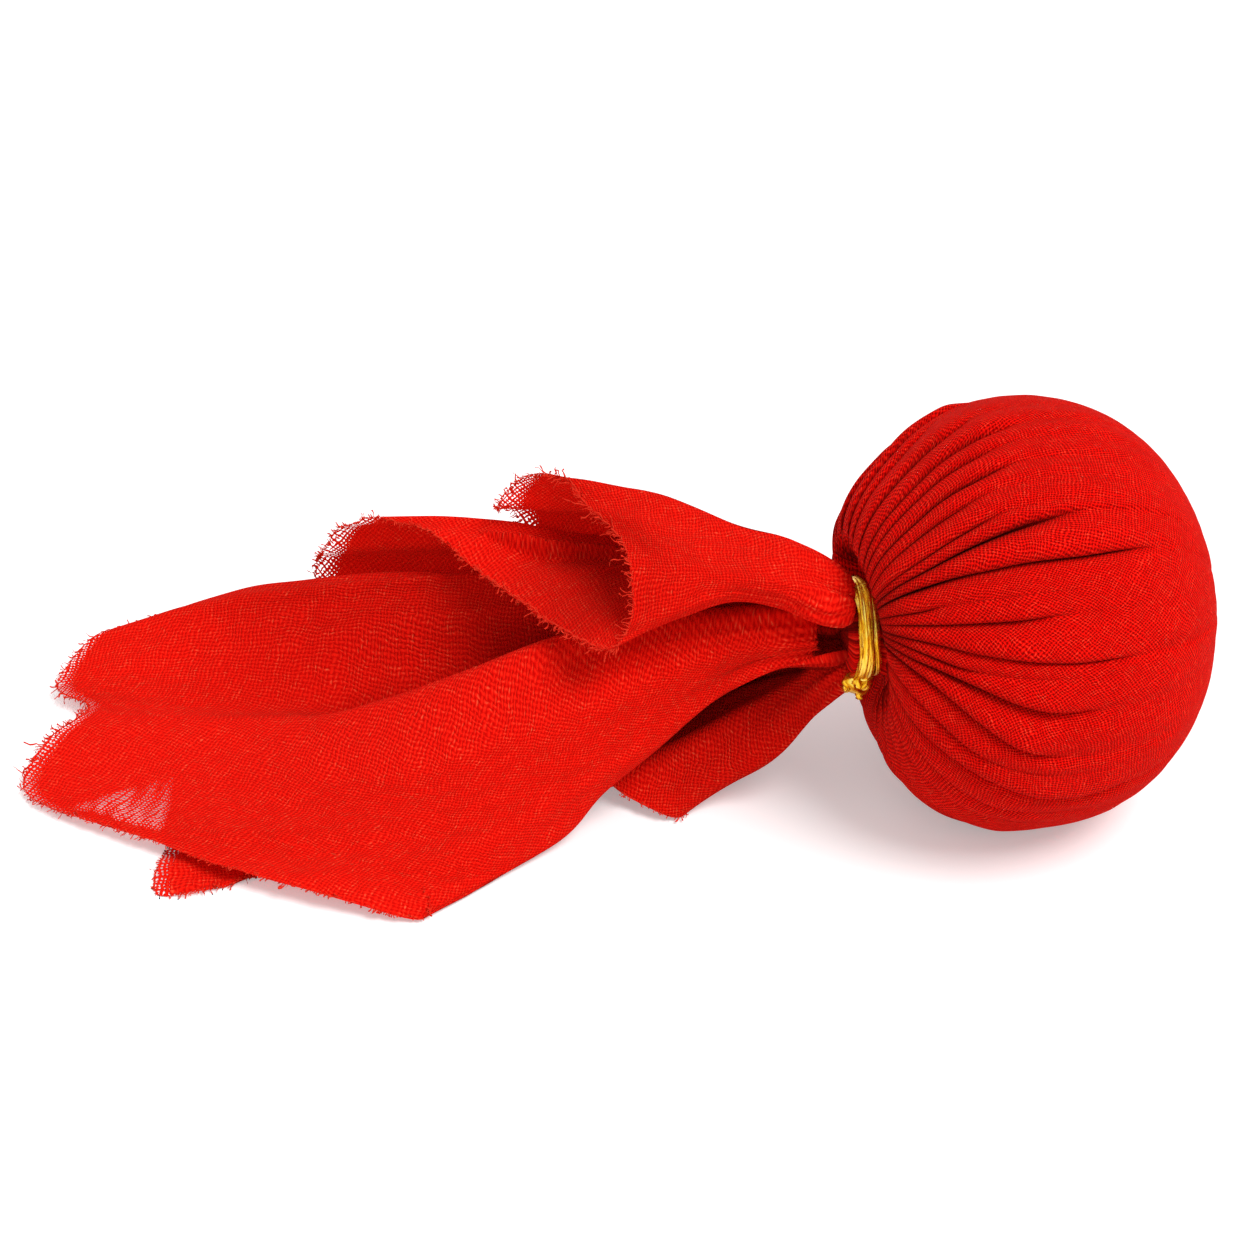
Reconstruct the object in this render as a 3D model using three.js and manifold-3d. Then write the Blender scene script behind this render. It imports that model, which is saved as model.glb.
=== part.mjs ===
import * as THREE from 'three';
import { mergeVertices } from 'three/addons/utils/BufferGeometryUtils.js';
import Module from 'manifold-3d';

// A square of cotton gauze gathered round a filling and tied at the neck, lying on a floor at z = 0.
// X runs along the neck, with the ball over the origin and the tail towards -X. Y points away from the
// front.

// Driving sizes in mm
const ballDiameter = 95;
const ballLength = 80;
const restDepth = 2;
const neckInset = 2;
const neckRadius = 9.6;
const clothThickness = 0.9;
const tailLength = 184;
const strandRadius = 0.9;
const tieTurns = 4;
const tieWidth = 5;
const seatGap = 0.3;
const knotRadius = 1.9;
const knotAngle = 148;
const tieEndLength = 4.5;

// How finely the cloth is faceted
const ballRows = 15;
const tailRows = 9;

// Sizes that follow from them
const ballRadius = ballDiameter / 2;
const neckHeight = ballRadius - restDepth;
const frontReach = ballLength / 2;
const neckX = -(ballLength / 2 - neckInset);
const tieFront = neckX + tieWidth / 2 + seatGap;
const tieBack = neckX - tieWidth / 2 - seatGap;

const wasm = await Module();
wasm.setup();

// Closed geometry to a solid, joins and back
function solidFrom(geometry) {
  geometry.deleteAttribute('normal');
  geometry.deleteAttribute('uv');
  const merged = mergeVertices(geometry, 1e-4);
  return new wasm.Manifold(new wasm.Mesh({
    numProp: 3,
    vertProperties: merged.attributes.position.array,
    triVerts: new Uint32Array(merged.index.array),
  }));
}

function joined(geometries) {
  const whole = geometries.map(solidFrom).reduce((all, next) => all.add(next));
  const [body] = whole.decompose().sort((one, other) => other.volume() - one.volume());
  const mesh = body.getMesh();
  const result = new THREE.BufferGeometry();
  result.setAttribute('position', new THREE.Float32BufferAttribute(mesh.vertProperties, 3));
  result.setIndex([...mesh.triVerts]);
  return result;
}

// A closed skin over rings of points, with a point at each end
function skinGeometry(first, rings, last) {
  const count = rings[0].length;
  const points = [first, ...rings.flat(), last];
  const index = [];
  const at = (ring, k) => 1 + ring * count + (k % count);
  for (let k = 0; k < count; k += 1) {
    index.push(0, at(0, k + 1), at(0, k));
    for (let ring = 0; ring + 1 < rings.length; ring += 1) {
      index.push(at(ring, k), at(ring, k + 1), at(ring + 1, k));
      index.push(at(ring, k + 1), at(ring + 1, k + 1), at(ring + 1, k));
    }
    index.push(points.length - 1, at(rings.length - 1, k), at(rings.length - 1, k + 1));
  }
  const geometry = new THREE.BufferGeometry().setFromPoints(points);
  geometry.setIndex(index);
  return geometry;
}

// A sheet with two faces, each a grid of rows, and a wall round its border
function sheetGeometry(outer, inner) {
  const rows = outer.length;
  const count = outer[0].length;
  const at = (row, k) => row * count + k;
  const under = rows * count;
  const index = [];
  const quad = (a, b, c, d) => index.push(a, b, c, a, c, d);
  for (let row = 0; row + 1 < rows; row += 1) {
    for (let k = 0; k + 1 < count; k += 1) {
      const corners = [at(row, k), at(row + 1, k), at(row + 1, k + 1), at(row, k + 1)];
      quad(...corners);
      quad(...corners.map((corner) => corner + under).reverse());
    }
  }
  const across = [...Array(count).keys()];
  const along = [...Array(rows).keys()];
  const border = [
    ...across.slice(0, -1).map((k) => at(0, k)),
    ...along.slice(0, -1).map((row) => at(row, count - 1)),
    ...across.slice(1).reverse().map((k) => at(rows - 1, k)),
    ...along.slice(1).reverse().map((row) => at(row, 0)),
  ];
  border.forEach((from, k) => {
    const to = border[(k + 1) % border.length];
    quad(from, to, to + under, from + under);
  });
  const geometry = new THREE.BufferGeometry().setFromPoints([...outer, ...inner].flat());
  geometry.setIndex(index);
  return geometry;
}

// Angle round X in degrees from the top towards the front
function around(x, radius, degrees) {
  const angle = THREE.MathUtils.degToRad(degrees);
  return new THREE.Vector3(x, -radius * Math.sin(angle), neckHeight + radius * Math.cos(angle));
}

// The ball: half outline from the neck to the front pole, as shares of its reach and radius
const ballOutline = [[-0.83, 0.23], [-0.835, 0.30], [-0.86, 0.38], [-0.87, 0.49], [-0.80, 0.685],
  [-0.588, 0.867], [-0.307, 0.98], [0, 1], [0.302, 0.958], [0.568, 0.84], [0.77, 0.657], [0.907, 0.444],
  [0.976, 0.223], [1, 0]];

// How far the shoulder sags back over the neck, and at which angle it sags most
const slump = 5;
const slumpAngle = -35;

// Tucks gathered into the neck: angle, how far it turns on its way, depth in mm and reach towards the
// front pole. On their last stretch they all swing towards one place on the front of the neck.
const frontTucks = [[-29, 0, 1.2, 0.3], [-17.5, 2, 1.7, 0.36], [-5.5, 0, 1.9, 0.43], [1.5, 1, 1.4, 0.4],
  [10, 0.5, 1.8, 0.4], [18, 0, 1.3, 0.34], [29, -3.5, 1.5, 0.36], [34, -5.5, 2.2, 0.5],
  [39.5, 0, 2.7, 0.62], [50, 0, 1.8, 0.22], [56.3, 0, 1.6, 0.44], [63.5, 6, 2.6, 0.57], [68, 5, 2, 0.28],
  [74, 9, 2.3, 0.49], [79, 18, 2.1, 0.43], [93, 10, 1.2, 0.32], [107, 6, 2.4, 0.57], [120, 3, 1.5, 0.4],
  [132, 0, 1.3, 0.35], [146, 0, 1.6, 0.45]];
const backTuckCount = 15;
const gatherAngle = 50;
const gatherStrength = 0.8;
const gatherReach = 0.12;

// Shares of the way from neck to pole between which the tucks grow to their full depth
const tuckRise = [0.04, 0.16];

function allTucks() {
  const last = frontTucks.at(-1)[0];
  const pitch = (360 + frontTucks[0][0] - last) / (backTuckCount + 1);
  const back = Array.from({ length: backTuckCount }, (_, k) => [
    last + pitch * (k + 1 + 0.2 * Math.sin(2.4 * k)),
    4 * Math.sin(1.3 * k + 0.4),
    1.9 + 0.6 * Math.sin(1.9 * k + 1),
    0.42 + 0.13 * Math.sin(2.7 * k),
  ]);
  return [...frontTucks, ...back];
}

// How strong a tuck is at a share of the way from neck to pole
function tuckFade(way, reach) {
  const rise = THREE.MathUtils.smoothstep(way, ...tuckRise);
  return (0.15 + 0.85 * rise) * (1 - THREE.MathUtils.smoothstep(way, 0.6 * reach, reach));
}

// Angle of the cloth at a share of the way, drawn towards the gathering place near the neck
function gatheredAngle(angle, way) {
  const gathered = gatherStrength * Math.exp(-Math.max(way - 0.02, 0) / gatherReach);
  const turn = THREE.MathUtils.euclideanModulo(angle - gatherAngle + 180, 360) - 180;
  return gatherAngle + turn * (1 - gathered * Math.cos(THREE.MathUtils.degToRad(turn / 2)) ** 2);
}

// Each tuck has a crease, the ridge of cloth beside it and a flank
function ballRing(way, outline) {
  const [share, wide] = outline.getPointAt(way).toArray();
  const tucks = allTucks();
  const rise = THREE.MathUtils.smoothstep(wide, 0.3, 0.46);
  const bell = rise * (1 - THREE.MathUtils.smoothstep(wide, 0.46, 0.82));
  const places = tucks.map(([angle, drift, , reach]) => (
    angle + drift * THREE.MathUtils.smoothstep(way, 0.1, reach)));
  return tucks.flatMap(([, , depth, reach], k) => {
    const next = k + 1 < tucks.length ? places[k + 1] : places[0] + 360;
    const fade = depth * tuckFade(way, reach);
    return [[0, -1], [0.38, 0], [0.74, 0.45]].map(([part, lift]) => {
      const degrees = gatheredAngle(places[k] + part * (next - places[k]), way);
      const turn = THREE.MathUtils.degToRad(degrees - slumpAngle);
      const x = share * frontReach - slump * bell * (0.5 + 0.5 * Math.cos(turn)) * (share < 0);
      const point = around(x, wide * ballRadius + lift * fade, degrees);
      point.z = Math.max(point.z, 0);
      return point;
    });
  });
}

function ballGeometry() {
  const outline = new THREE.SplineCurve(ballOutline.map(([x, r]) => new THREE.Vector2(x, r)));
  const waist = [[tieBack - 1, 0.7], [tieBack - 0.5, 0.9], [tieBack, 1], [tieFront, 1]].map(([x, wide]) =>
    ballRing(0, outline).map((point) => {
      const out = new THREE.Vector3(0, point.y, point.z - neckHeight).setLength(wide * neckRadius);
      return new THREE.Vector3(x, out.y, neckHeight + out.z);
    }));
  const ways = Array.from({ length: ballRows }, (_, k) => (k / ballRows) ** 1.2);
  const rows = ways.map((way) => ballRing(way, outline));
  const core = new THREE.Vector3(tieBack - 1.2, 0, neckHeight);
  return skinGeometry(core, [...waist, ...rows], new THREE.Vector3(frontReach, 0, neckHeight));
}

// The tail's fold lines in turn round the neck. Each starts with its facets to the next line and the
// number of the point that is pinched into the neck. The points run from near the neck to the cut edge,
// as mm behind the neck, away from the front and up from the floor.
const foldLines = [
  // upper fold: top ridge, front and low edge
  [3, 2, [6, 4, 59], [12, 9, 63], [24, 18, 63.5], [39, 32, 64.5], [59, 46, 62.7]],
  [3, 2, [6, 0, 58], [14, 4, 63], [26, 11, 63], [40, 23, 63], [54, 37, 60]],
  [3, 1, [16, 0, 62], [29, 6, 62.3], [40, 14, 62.5], [49, 25, 59]],
  [3, 1, [17, -4, 61], [30, 2, 60.5], [39, 7, 59.5], [48, 14, 57]],
  [2, 1, [12, -5, 55], [27, 0, 58], [39, 2, 54.5], [50, 5, 48]],
  // floor of the upper fold, out to its back corner
  [3, 0, [27, 6, 52], [40, 9, 47], [55, 2, 45.5]],
  [3, 0, [27, 14, 51.5], [44, 20, 46], [64, 15, 43]],
  [3, 0, [28, 24, 50], [50, 38, 44.5], [78, 42, 42]],
  [3, 0, [30, 33, 48.5], [58, 46, 44], [89, 59, 43]],
  [3, 0, [30, 37, 46.5], [58, 52, 43.5], [80, 62, 43.5], [103, 69, 41]],
  // under layer behind it, down to the floor and back up
  [3, 0, [30, 38, 38], [60, 59, 27], [111, 86, 14]],
  [2, 0, [28, 36, 30], [50, 66, 14], [80, 94, 1.2]],
  [2, 0, [27, 31, 27], [44, 58, 10], [62, 80, 1.5]],
  [3, 0, [28, 27, 33], [62, 60, 18], [106, 80, 1.2]],
  // back wing
  [3, 0, [30, 26, 43], [57, 42, 38.5], [94, 59, 31], [140, 75, 19], [162, 78, 11]],
  [3, 0, [30, 21, 41.5], [58, 35, 35], [100, 55, 22], [175, 67, 3.5]],
  [3, 0, [30, 16, 39], [56, 33, 31], [97, 42, 13], [126, 46, 9.6], [168, 57, 4.2]],
  // front wing
  [3, 0, [27, 13, 45.5], [45, 19, 42.5], [62, 21, 38], [87, 23, 27], [121, 34.5, 12], [170, 52, 5.2]],
  [3, 0, [28, 7, 42.5], [45, 12, 38], [87, 14, 24.5], [130, 29, 9], [178, 45, 4.5]],
  [4, 0, [28, 4, 39.5], [45, 6, 33], [95, 4, 17], [140, 20, 7], [184, 31, 2.5]],
  [4, 0, [27, 2, 37.5], [45, 2, 28], [94, -7, 10.5], [154, 3, 4]],
  [4, 0, [26, 0.5, 36.5], [45, -1, 24], [90, -16, 6], [128, -17, 4.5]],
  [3, 1, [11, -4, 41.5], [24, -2, 36], [32, -1, 30], [44, -2.5, 20], [56, -4, 11.5], [68, -9, 3],
    [100, -28, 1.2]],
  // layer under the front wing, with the low corner
  [2, 0, [25, 5, 32], [45, 8, 17], [68, 4, 7], [104, -8, 3]],
  [2, 0, [25, 9, 30.5], [45, 16, 15.5], [70, 16, 6], [112, 12, 2.8]],
  [2, 0, [25, 10, 29], [45.5, 13, 14], [76, 8, 4.2], [112, 2, 1.8], [137, -8, 1]],
  [2, 0, [25, 11, 27.5], [46, 10, 12.5], [80, 2, 3], [133, -5, 1.3], [157, -9, 1]],
  [2, 0, [26, 17, 25], [50, 22, 10], [85, 24, 2], [140, 24, 0.5]],
  [2, 0, [22, 18, 23], [42, 30, 8], [66, 38, 1.5]],
  // short flap below the neck
  [2, 0, [20, 6, 22], [36, 6, 12], [53, 4, 5]],
  [3, 1, [9, -3, 26.5], [20, -2.5, 13], [31, -1, 5.5], [40, -3, 0.7]],
  [2, 0, [20, 6, 8], [36, 6, 0.7]],
  // back drape
  [2, 0, [21, 20, 6], [34, 36, 0.7]],
  [2, 0, [21, 32, 15], [32, 50, 7], [50, 80, 0.7]],
  [2, 0, [21, 34, 22], [34, 52, 13], [62, 82, 3]],
  [2, 0, [22, 32, 30], [34, 47, 24], [56, 70, 17]],
  [2, 0, [22, 33, 37], [37, 50, 33], [57, 73, 28]],
  [2, 0, [22, 28, 45], [38, 44, 42], [63, 60, 40]],
  [2, 0, [22, 24, 53], [40, 42, 52], [72, 54, 50]],
  [2, 1, [9, 8, 57], [22, 20, 60.5], [40, 36, 60], [66, 51, 60]],
];

// Fold lines where one sheet of the tail ends and the next begins
const sheetEnds = [5, 8, 10, 12, 14, 17, 22, 23, 24, 26, 27, 28, 30, 35, foldLines.length];

function facetsBefore(line) {
  return foldLines.slice(0, line).reduce((sum, [facets]) => sum + facets, 0);
}

// The sizes that the lines above are drawn for, and how the cloth is drawn together in the neck
const drawnLength = 184;
const drawnNeckHeight = 45.5;
const bundleMiddle = [15, 40];
const pinch = 0.36;

function foldCurve([, pinched, ...points]) {
  const far = tailLength / drawnLength;
  const high = neckHeight / drawnNeckHeight;
  const [, away, up] = points[pinched];
  const start = new THREE.Vector2(away - bundleMiddle[0], up - bundleMiddle[1]).multiplyScalar(pinch);
  start.clampLength(0, neckRadius - clothThickness);
  const outside = points.map(([behind, side, lift]) => (
    new THREE.Vector3(neckX - behind * far, side * far, lift * high)));
  const inNeck = new THREE.Vector3(tieBack + seatGap, start.x, neckHeight + start.y);
  return new THREE.CatmullRomCurve3([inNeck, ...outside]);
}

// One ring of the cloth's middle surface at a share of the way from the neck to the cut edge
function tailRing(curves, way) {
  const across = curves.map((curve) => curve.getPointAt(way));
  const ring = new THREE.CatmullRomCurve3(across, true, 'centripetal');
  return foldLines.flatMap(([facets], k) => Array.from({ length: facets }, (_, part) => {
    const point = ring.getPoint((k + part / facets) / foldLines.length);
    return point.setZ(Math.max(point.z, clothThickness / 2));
  }));
}

// Normals of a grid of rings, pointing out of the cloth. On a sharp fold, where those of its two sides
// cancel, the normal points away from the fold, or into it where the fold is hollow.
function gridNormals(rings) {
  const count = rings[0].length;
  return rings.map((ring, row) => ring.map((point, k) => {
    const along = rings[Math.min(row + 1, rings.length - 1)][k].clone().sub(rings[Math.max(row - 1, 0)][k]);
    const reach = point.clone().sub(ring[(k + count - 1) % count]).normalize();
    const leave = ring[(k + 1) % count].clone().sub(point).normalize();
    const before = along.clone().cross(reach).normalize();
    const after = along.clone().cross(leave).normalize();
    const turn = Math.sign(after.dot(reach)) * (1 - before.dot(after)) / 2;
    const away = reach.clone().sub(leave).multiplyScalar(turn);
    return before.add(after).add(away).normalize();
  }));
}

// The tail in sheets from fold to fold, which join where they meet and where they are pressed together
function tailGeometries() {
  const curves = foldLines.map(foldCurve);
  const ways = Array.from({ length: tailRows }, (_, k) => k / (tailRows - 1));
  const middle = ways.map((way) => tailRing(curves, way));
  const normals = gridNormals(middle);
  const face = (side) => middle.map((ring, row) => {
    const half = clothThickness * (0.15 + 0.35 * THREE.MathUtils.smoothstep(ways[row], 0, 0.3));
    const points = ring.map((point, k) => {
      const moved = point.clone().addScaledVector(normals[row][k], side * half);
      return moved.setZ(Math.max(moved.z, 0));
    });
    return [...points, points[0]];
  });
  const outer = face(1);
  const inner = face(-1);
  return sheetEnds.map((end, k) => {
    const from = facetsBefore(k ? sheetEnds[k - 1] : 0);
    const part = (rows) => rows.map((row) => row.slice(from, facetsBefore(end) + 1));
    return sheetGeometry(part(outer), part(inner));
  });
}

// The tie: turns of twisted ribbon side by side, each a little askew
function turnGeometry(turn) {
  const place = tieTurns > 1 ? turn / (tieTurns - 1) - 0.5 : 0;
  const radius = neckRadius + seatGap + strandRadius + 0.35 * (turn % 2);
  const ring = new THREE.TorusGeometry(radius, strandRadius, 6, 22);
  ring.rotateY(Math.PI / 2);
  ring.rotateZ(0.03 * Math.sin(2.1 * turn));
  ring.rotateY(0.03 * Math.cos(2.9 * turn));
  return ring.translate(neckX + place * (tieWidth - 2 * strandRadius), 0, neckHeight);
}

// A stub of ribbon that leaves the knot, from its middle towards a point
function stubGeometry(from, to) {
  const way = to.clone().sub(from);
  const stub = new THREE.CapsuleGeometry(strandRadius, way.length(), 2, 7);
  const upright = new THREE.Vector3(0, 1, 0);
  stub.applyQuaternion(new THREE.Quaternion().setFromUnitVectors(upright, way.normalize()));
  const middle = from.clone().add(to).multiplyScalar(0.5);
  return stub.translate(...middle.toArray());
}

// The knot sits low on the front of the last turns, with a stub to each side
function knotGeometries() {
  const out = neckRadius + seatGap + strandRadius + knotRadius * 0.6;
  const middle = around(neckX, out, knotAngle);
  const lump = new THREE.SphereGeometry(knotRadius, 9, 6).scale(1.25, 1, 0.85);
  lump.rotateX(THREE.MathUtils.degToRad(knotAngle)).translate(...middle.toArray());
  const back = around(neckX - tieEndLength, out + 0.4, knotAngle - 9);
  const down = around(neckX + 0.8, out + 0.7 * tieEndLength, knotAngle + 6);
  return [lump, stubGeometry(middle, back), stubGeometry(middle, down)];
}

function tieGeometry() {
  const turns = Array.from({ length: tieTurns }, (_, turn) => turnGeometry(turn));
  return joined([...turns, ...knotGeometries()]);
}

function material(color, roughness, metalness = 0) {
  return new THREE.MeshStandardMaterial({ color, roughness, metalness });
}

function piece(name, geometry, look) {
  const flat = geometry.index ? geometry.toNonIndexed() : geometry;
  flat.computeVertexNormals();
  const mesh = new THREE.Mesh(flat, look);
  mesh.name = name;
  return mesh;
}

const pouch = new THREE.Group();
pouch.add(piece('cloth_bundle', joined([ballGeometry(), ...tailGeometries()]), material(0xdd160d, 0.9)));
pouch.add(piece('neck_tie', tieGeometry(), material(0xce811c, 0.35, 0.8)));

export default pouch;
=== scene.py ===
import bpy
import numpy as np
from mathutils import Matrix, Vector


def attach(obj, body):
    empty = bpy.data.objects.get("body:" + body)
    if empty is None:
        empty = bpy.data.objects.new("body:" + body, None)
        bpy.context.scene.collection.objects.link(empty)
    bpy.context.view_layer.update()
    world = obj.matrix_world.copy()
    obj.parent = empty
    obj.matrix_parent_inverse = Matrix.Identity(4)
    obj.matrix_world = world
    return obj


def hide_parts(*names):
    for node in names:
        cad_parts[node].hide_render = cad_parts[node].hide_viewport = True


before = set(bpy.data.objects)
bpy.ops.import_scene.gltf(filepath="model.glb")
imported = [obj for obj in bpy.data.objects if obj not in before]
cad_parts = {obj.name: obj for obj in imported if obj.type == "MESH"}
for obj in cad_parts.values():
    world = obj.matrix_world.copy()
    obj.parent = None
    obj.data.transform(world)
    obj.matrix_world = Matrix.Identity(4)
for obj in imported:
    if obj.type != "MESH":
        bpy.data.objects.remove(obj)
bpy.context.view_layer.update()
print("frame loaded")

mm = 0.001  # everything is worked out in mm and written to meshes in metres
splineShares = np.linspace(0, 1, 40, endpoint=False)[:, None]  # from each point of a spline to the next

# sizes that the pieces share, as in the model's source
pouch = {
    "ballDiameter": 95,
    "ballLength": 80,
    "restDepth": 2,
    "neckRadius": 9.6,
    "tieWidth": 5,
    "seatGap": 0.3,
    "neckInset": 2,
}
ballRadius = pouch["ballDiameter"] / 2
neckHeight = ballRadius - pouch["restDepth"]
frontReach = pouch["ballLength"] / 2
neckX = pouch["neckInset"] - frontReach
neckRadius = pouch["neckRadius"]
tieBack = neckX - pouch["tieWidth"] / 2 - pouch["seatGap"]
tieFront = neckX + pouch["tieWidth"] / 2 + pouch["seatGap"]


# small helpers

def smooth(value, low, high):
    share = np.clip((value - low) / (high - low), 0, 1)
    return share * share * (3 - 2 * share)


def hump(value, start, full, fade, end):
    # rises from 0 to 1 and falls back to 0
    return smooth(value, start, full) * (1 - smooth(value, fade, end))


def along(before, start, end, after, share):
    # centripetal spline from start to end, for arrays of points
    def gap(one, other):
        return np.maximum(np.linalg.norm(other - one, axis=-1, keepdims=True), 1e-6) ** 0.5
    first, middle, last = gap(before, start), gap(start, end), gap(end, after)
    leave = ((start - before) / first - (end - before) / (first + middle) + (end - start) / middle) * middle
    arrive = ((end - start) / middle - (after - start) / (middle + last) + (after - end) / last) * middle
    square = -3 * start + 3 * end - 2 * leave - arrive
    cube = 2 * start - 2 * end + leave + arrive
    return start + leave * share + square * share ** 2 + cube * share ** 3


def atWays(parts, ways):
    # points at shares of the length of a line that is given in parts, with the length
    dense = np.vstack(parts)
    length = np.concatenate([[0], np.cumsum(np.linalg.norm(np.diff(dense, axis=0), axis=1))])
    spots = np.asarray(ways) * length[-1]
    return np.stack([np.interp(spots, length, column) for column in dense.T], -1), length[-1]


def waves(parts, turn, phase):
    # sum of waves, each with its height, its number and how far the phase moves it
    return sum(height * np.sin(times * turn + shift * phase) for height, times, shift in parts)


def cloudNoise(u, v, size, seed):
    # soft random field from -1 to 1 over a plane, with blobs of the given size
    cells = 64
    lattice = np.random.default_rng(seed).uniform(-1, 1, (cells, cells))
    x, y = np.asarray(u) / size, np.asarray(v) / size
    column, row = np.floor(x).astype(int), np.floor(y).astype(int)
    right, up = x - column, y - row
    right, up = smooth(right, 0, 1), smooth(up, 0, 1)

    def corner(a, b):
        return lattice[(column + a) % cells, (row + b) % cells]
    low = corner(0, 0) * (1 - right) + corner(1, 0) * right
    high = corner(0, 1) * (1 - right) + corner(1, 1) * right
    return low * (1 - up) + high * up


def gridNormals(points):
    # for a grid whose columns go round
    across = np.roll(points, -1, axis=1) - np.roll(points, 1, axis=1)
    normal = np.cross(np.gradient(points, axis=0), across)
    return normal / np.maximum(np.linalg.norm(normal, axis=-1, keepdims=True), 1e-9)


def meshPiece(name, points, faces, material, uvs, attributes):
    # an object from points in mm, with a uv for each point and float attributes
    mesh = bpy.data.meshes.new(name)
    mesh.from_pydata((np.asarray(points) * mm).tolist(), [], faces)
    mesh.polygons.foreach_set("use_smooth", [True] * len(mesh.polygons))
    layer = mesh.uv_layers.new(name="weave")
    order = np.empty(len(mesh.loops), int)
    mesh.loops.foreach_get("vertex_index", order)
    layer.data.foreach_set("uv", np.asarray(uvs, np.float32)[order].ravel())
    for key, values in attributes.items():
        mesh.attributes.new(key, "FLOAT", "POINT").data.foreach_set("value", np.asarray(values, np.float32))
    mesh.materials.append(material)
    mesh.update()
    piece = bpy.data.objects.new(name, mesh)
    bpy.context.collection.objects.link(piece)
    return piece


def gridFaces(rows, columns, ringed=False):
    # faces of a grid whose columns go round, and its rows too if it is ringed
    row, column = np.meshgrid(np.arange(rows if ringed else rows - 1), np.arange(columns), indexing="ij")
    nextRow, nextColumn = (row + 1) % rows, (column + 1) % columns
    corners = [(row, column), (row, nextColumn), (nextRow, nextColumn), (nextRow, column)]
    return np.stack([one * columns + other for one, other in corners], -1).reshape(-1, 4)


# node helpers

def addNode(tree, kind, inputs=None, **settings):
    node = tree.nodes.new(kind)
    for key, value in settings.items():
        setattr(node, key, value)
    for key, value in (inputs or {}).items():
        if isinstance(value, bpy.types.NodeSocket):
            tree.links.new(value, node.inputs[key])
        else:
            node.inputs[key].default_value = value
    return node


def maths(tree, operation, one, other=0.0, third=0.0, clamp=False):
    inputs = {0: one, 1: other, 2: third}
    return addNode(tree, "ShaderNodeMath", inputs, operation=operation, use_clamp=clamp).outputs[0]


def vectorMaths(tree, operation, inputs):
    return addNode(tree, "ShaderNodeVectorMath", inputs, operation=operation).outputs[0]


def centred(tree, colour, size):
    # a noise colour as a shift of up to half the size each way
    shift = vectorMaths(tree, "SUBTRACT", {0: colour, 1: (0.5, 0.5, 0.5)})
    return vectorMaths(tree, "SCALE", {0: shift, "Scale": size})


def mapped(tree, value, start, end, low=0.0, high=1.0):
    inputs = {"Value": value, "From Min": start, "From Max": end, "To Min": low, "To Max": high}
    return addNode(tree, "ShaderNodeMapRange", inputs).outputs[0]


def mixed(tree, share, one, other):
    # sockets 6 and 7 of a Mix node are its colours, and output 2 the mixed one
    return addNode(tree, "ShaderNodeMix", {0: share, 6: one, 7: other}, data_type="RGBA").outputs[2]


def shaderMix(tree, share, one, other):
    return addNode(tree, "ShaderNodeMixShader", {0: share, 1: one, 2: other}).outputs[0]


def shaderAttribute(tree, name):
    return addNode(tree, "ShaderNodeAttribute", attribute_name=name).outputs["Fac"]


def seenDirectly(tree):
    # 1 for what the camera sees, also in a mirror or through something clear
    seen = addNode(tree, "ShaderNodeLightPath")
    direct = maths(tree, "MAXIMUM", seen.outputs["Is Camera Ray"], seen.outputs["Is Glossy Ray"])
    return maths(tree, "MAXIMUM", direct, seen.outputs["Is Transmission Ray"])


def newMaterial(name):
    material = bpy.data.materials.new(name)
    material.use_nodes = True
    material.node_tree.nodes.clear()
    return material, material.node_tree


def setSurface(tree, surface):
    tree.links.new(surface, addNode(tree, "ShaderNodeOutputMaterial").inputs[0])


# cloth material

gauze = {
    "threadPitch": 0.72,  # mm
    # deep, clear and highlight colours over the filling, and of single cloth, which looks lighter; deep is
    # painted shade between the threads, darker over the filling, and the highlight colour is painted
    # highlights on their tops
    "fullTones": [(0.27, 0.0006, 0.0004, 1), (1.0, 0.0050, 0.0022, 1), (1.0, 0.11, 0.045, 1)],
    "singleTones": [(0.68, 0.0020, 0.0010, 1), (1.0, 0.012, 0.0045, 1), (1.0, 0.15, 0.06, 1)],
    "paintedShadeTone": (0.10, 0.0004, 0.0003, 1),  # painted shade: the colour that cloth is darkened towards deep in a crease and under other layers
    # how threads wander, in long waves and in short ones: waves to a mm, detail and mm
    "wander": [[0.11, 2.0, 3.2], [0.9, 1.0, 0.5]],
    "slubs": [1.5, 0.13],  # how fast a thread's thickness changes across it and along it
    "crossing": 0.3,  # how far a thread rises where it runs over another, against its own height
    # heights of the weave between which the painted shade gives way to the clear tone, and the painted
    # highlights come in
    "toneHeights": [0.10, 0.56],
    "highlightHeights": [0.58, 0.90],
    "highlightGrain": [0.55, 0.45, 0.75],  # size of the random patches with painted highlights, and how much of the cloth they take
    "bump": 0.34,  # mm
    "sheen": 0.05,
    "sheenTint": (1.0, 0.22, 0.12, 1),
    "glow": 0.12,  # light that comes through a single layer
    # height of the weave below which it is open, where the cloth is tight and where it is loose
    "openBelow": [-0.4, 0.42],
    "missing": [0.07, 0.17],  # how much more open every other thread's place is, where the cloth is loose
}


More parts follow.
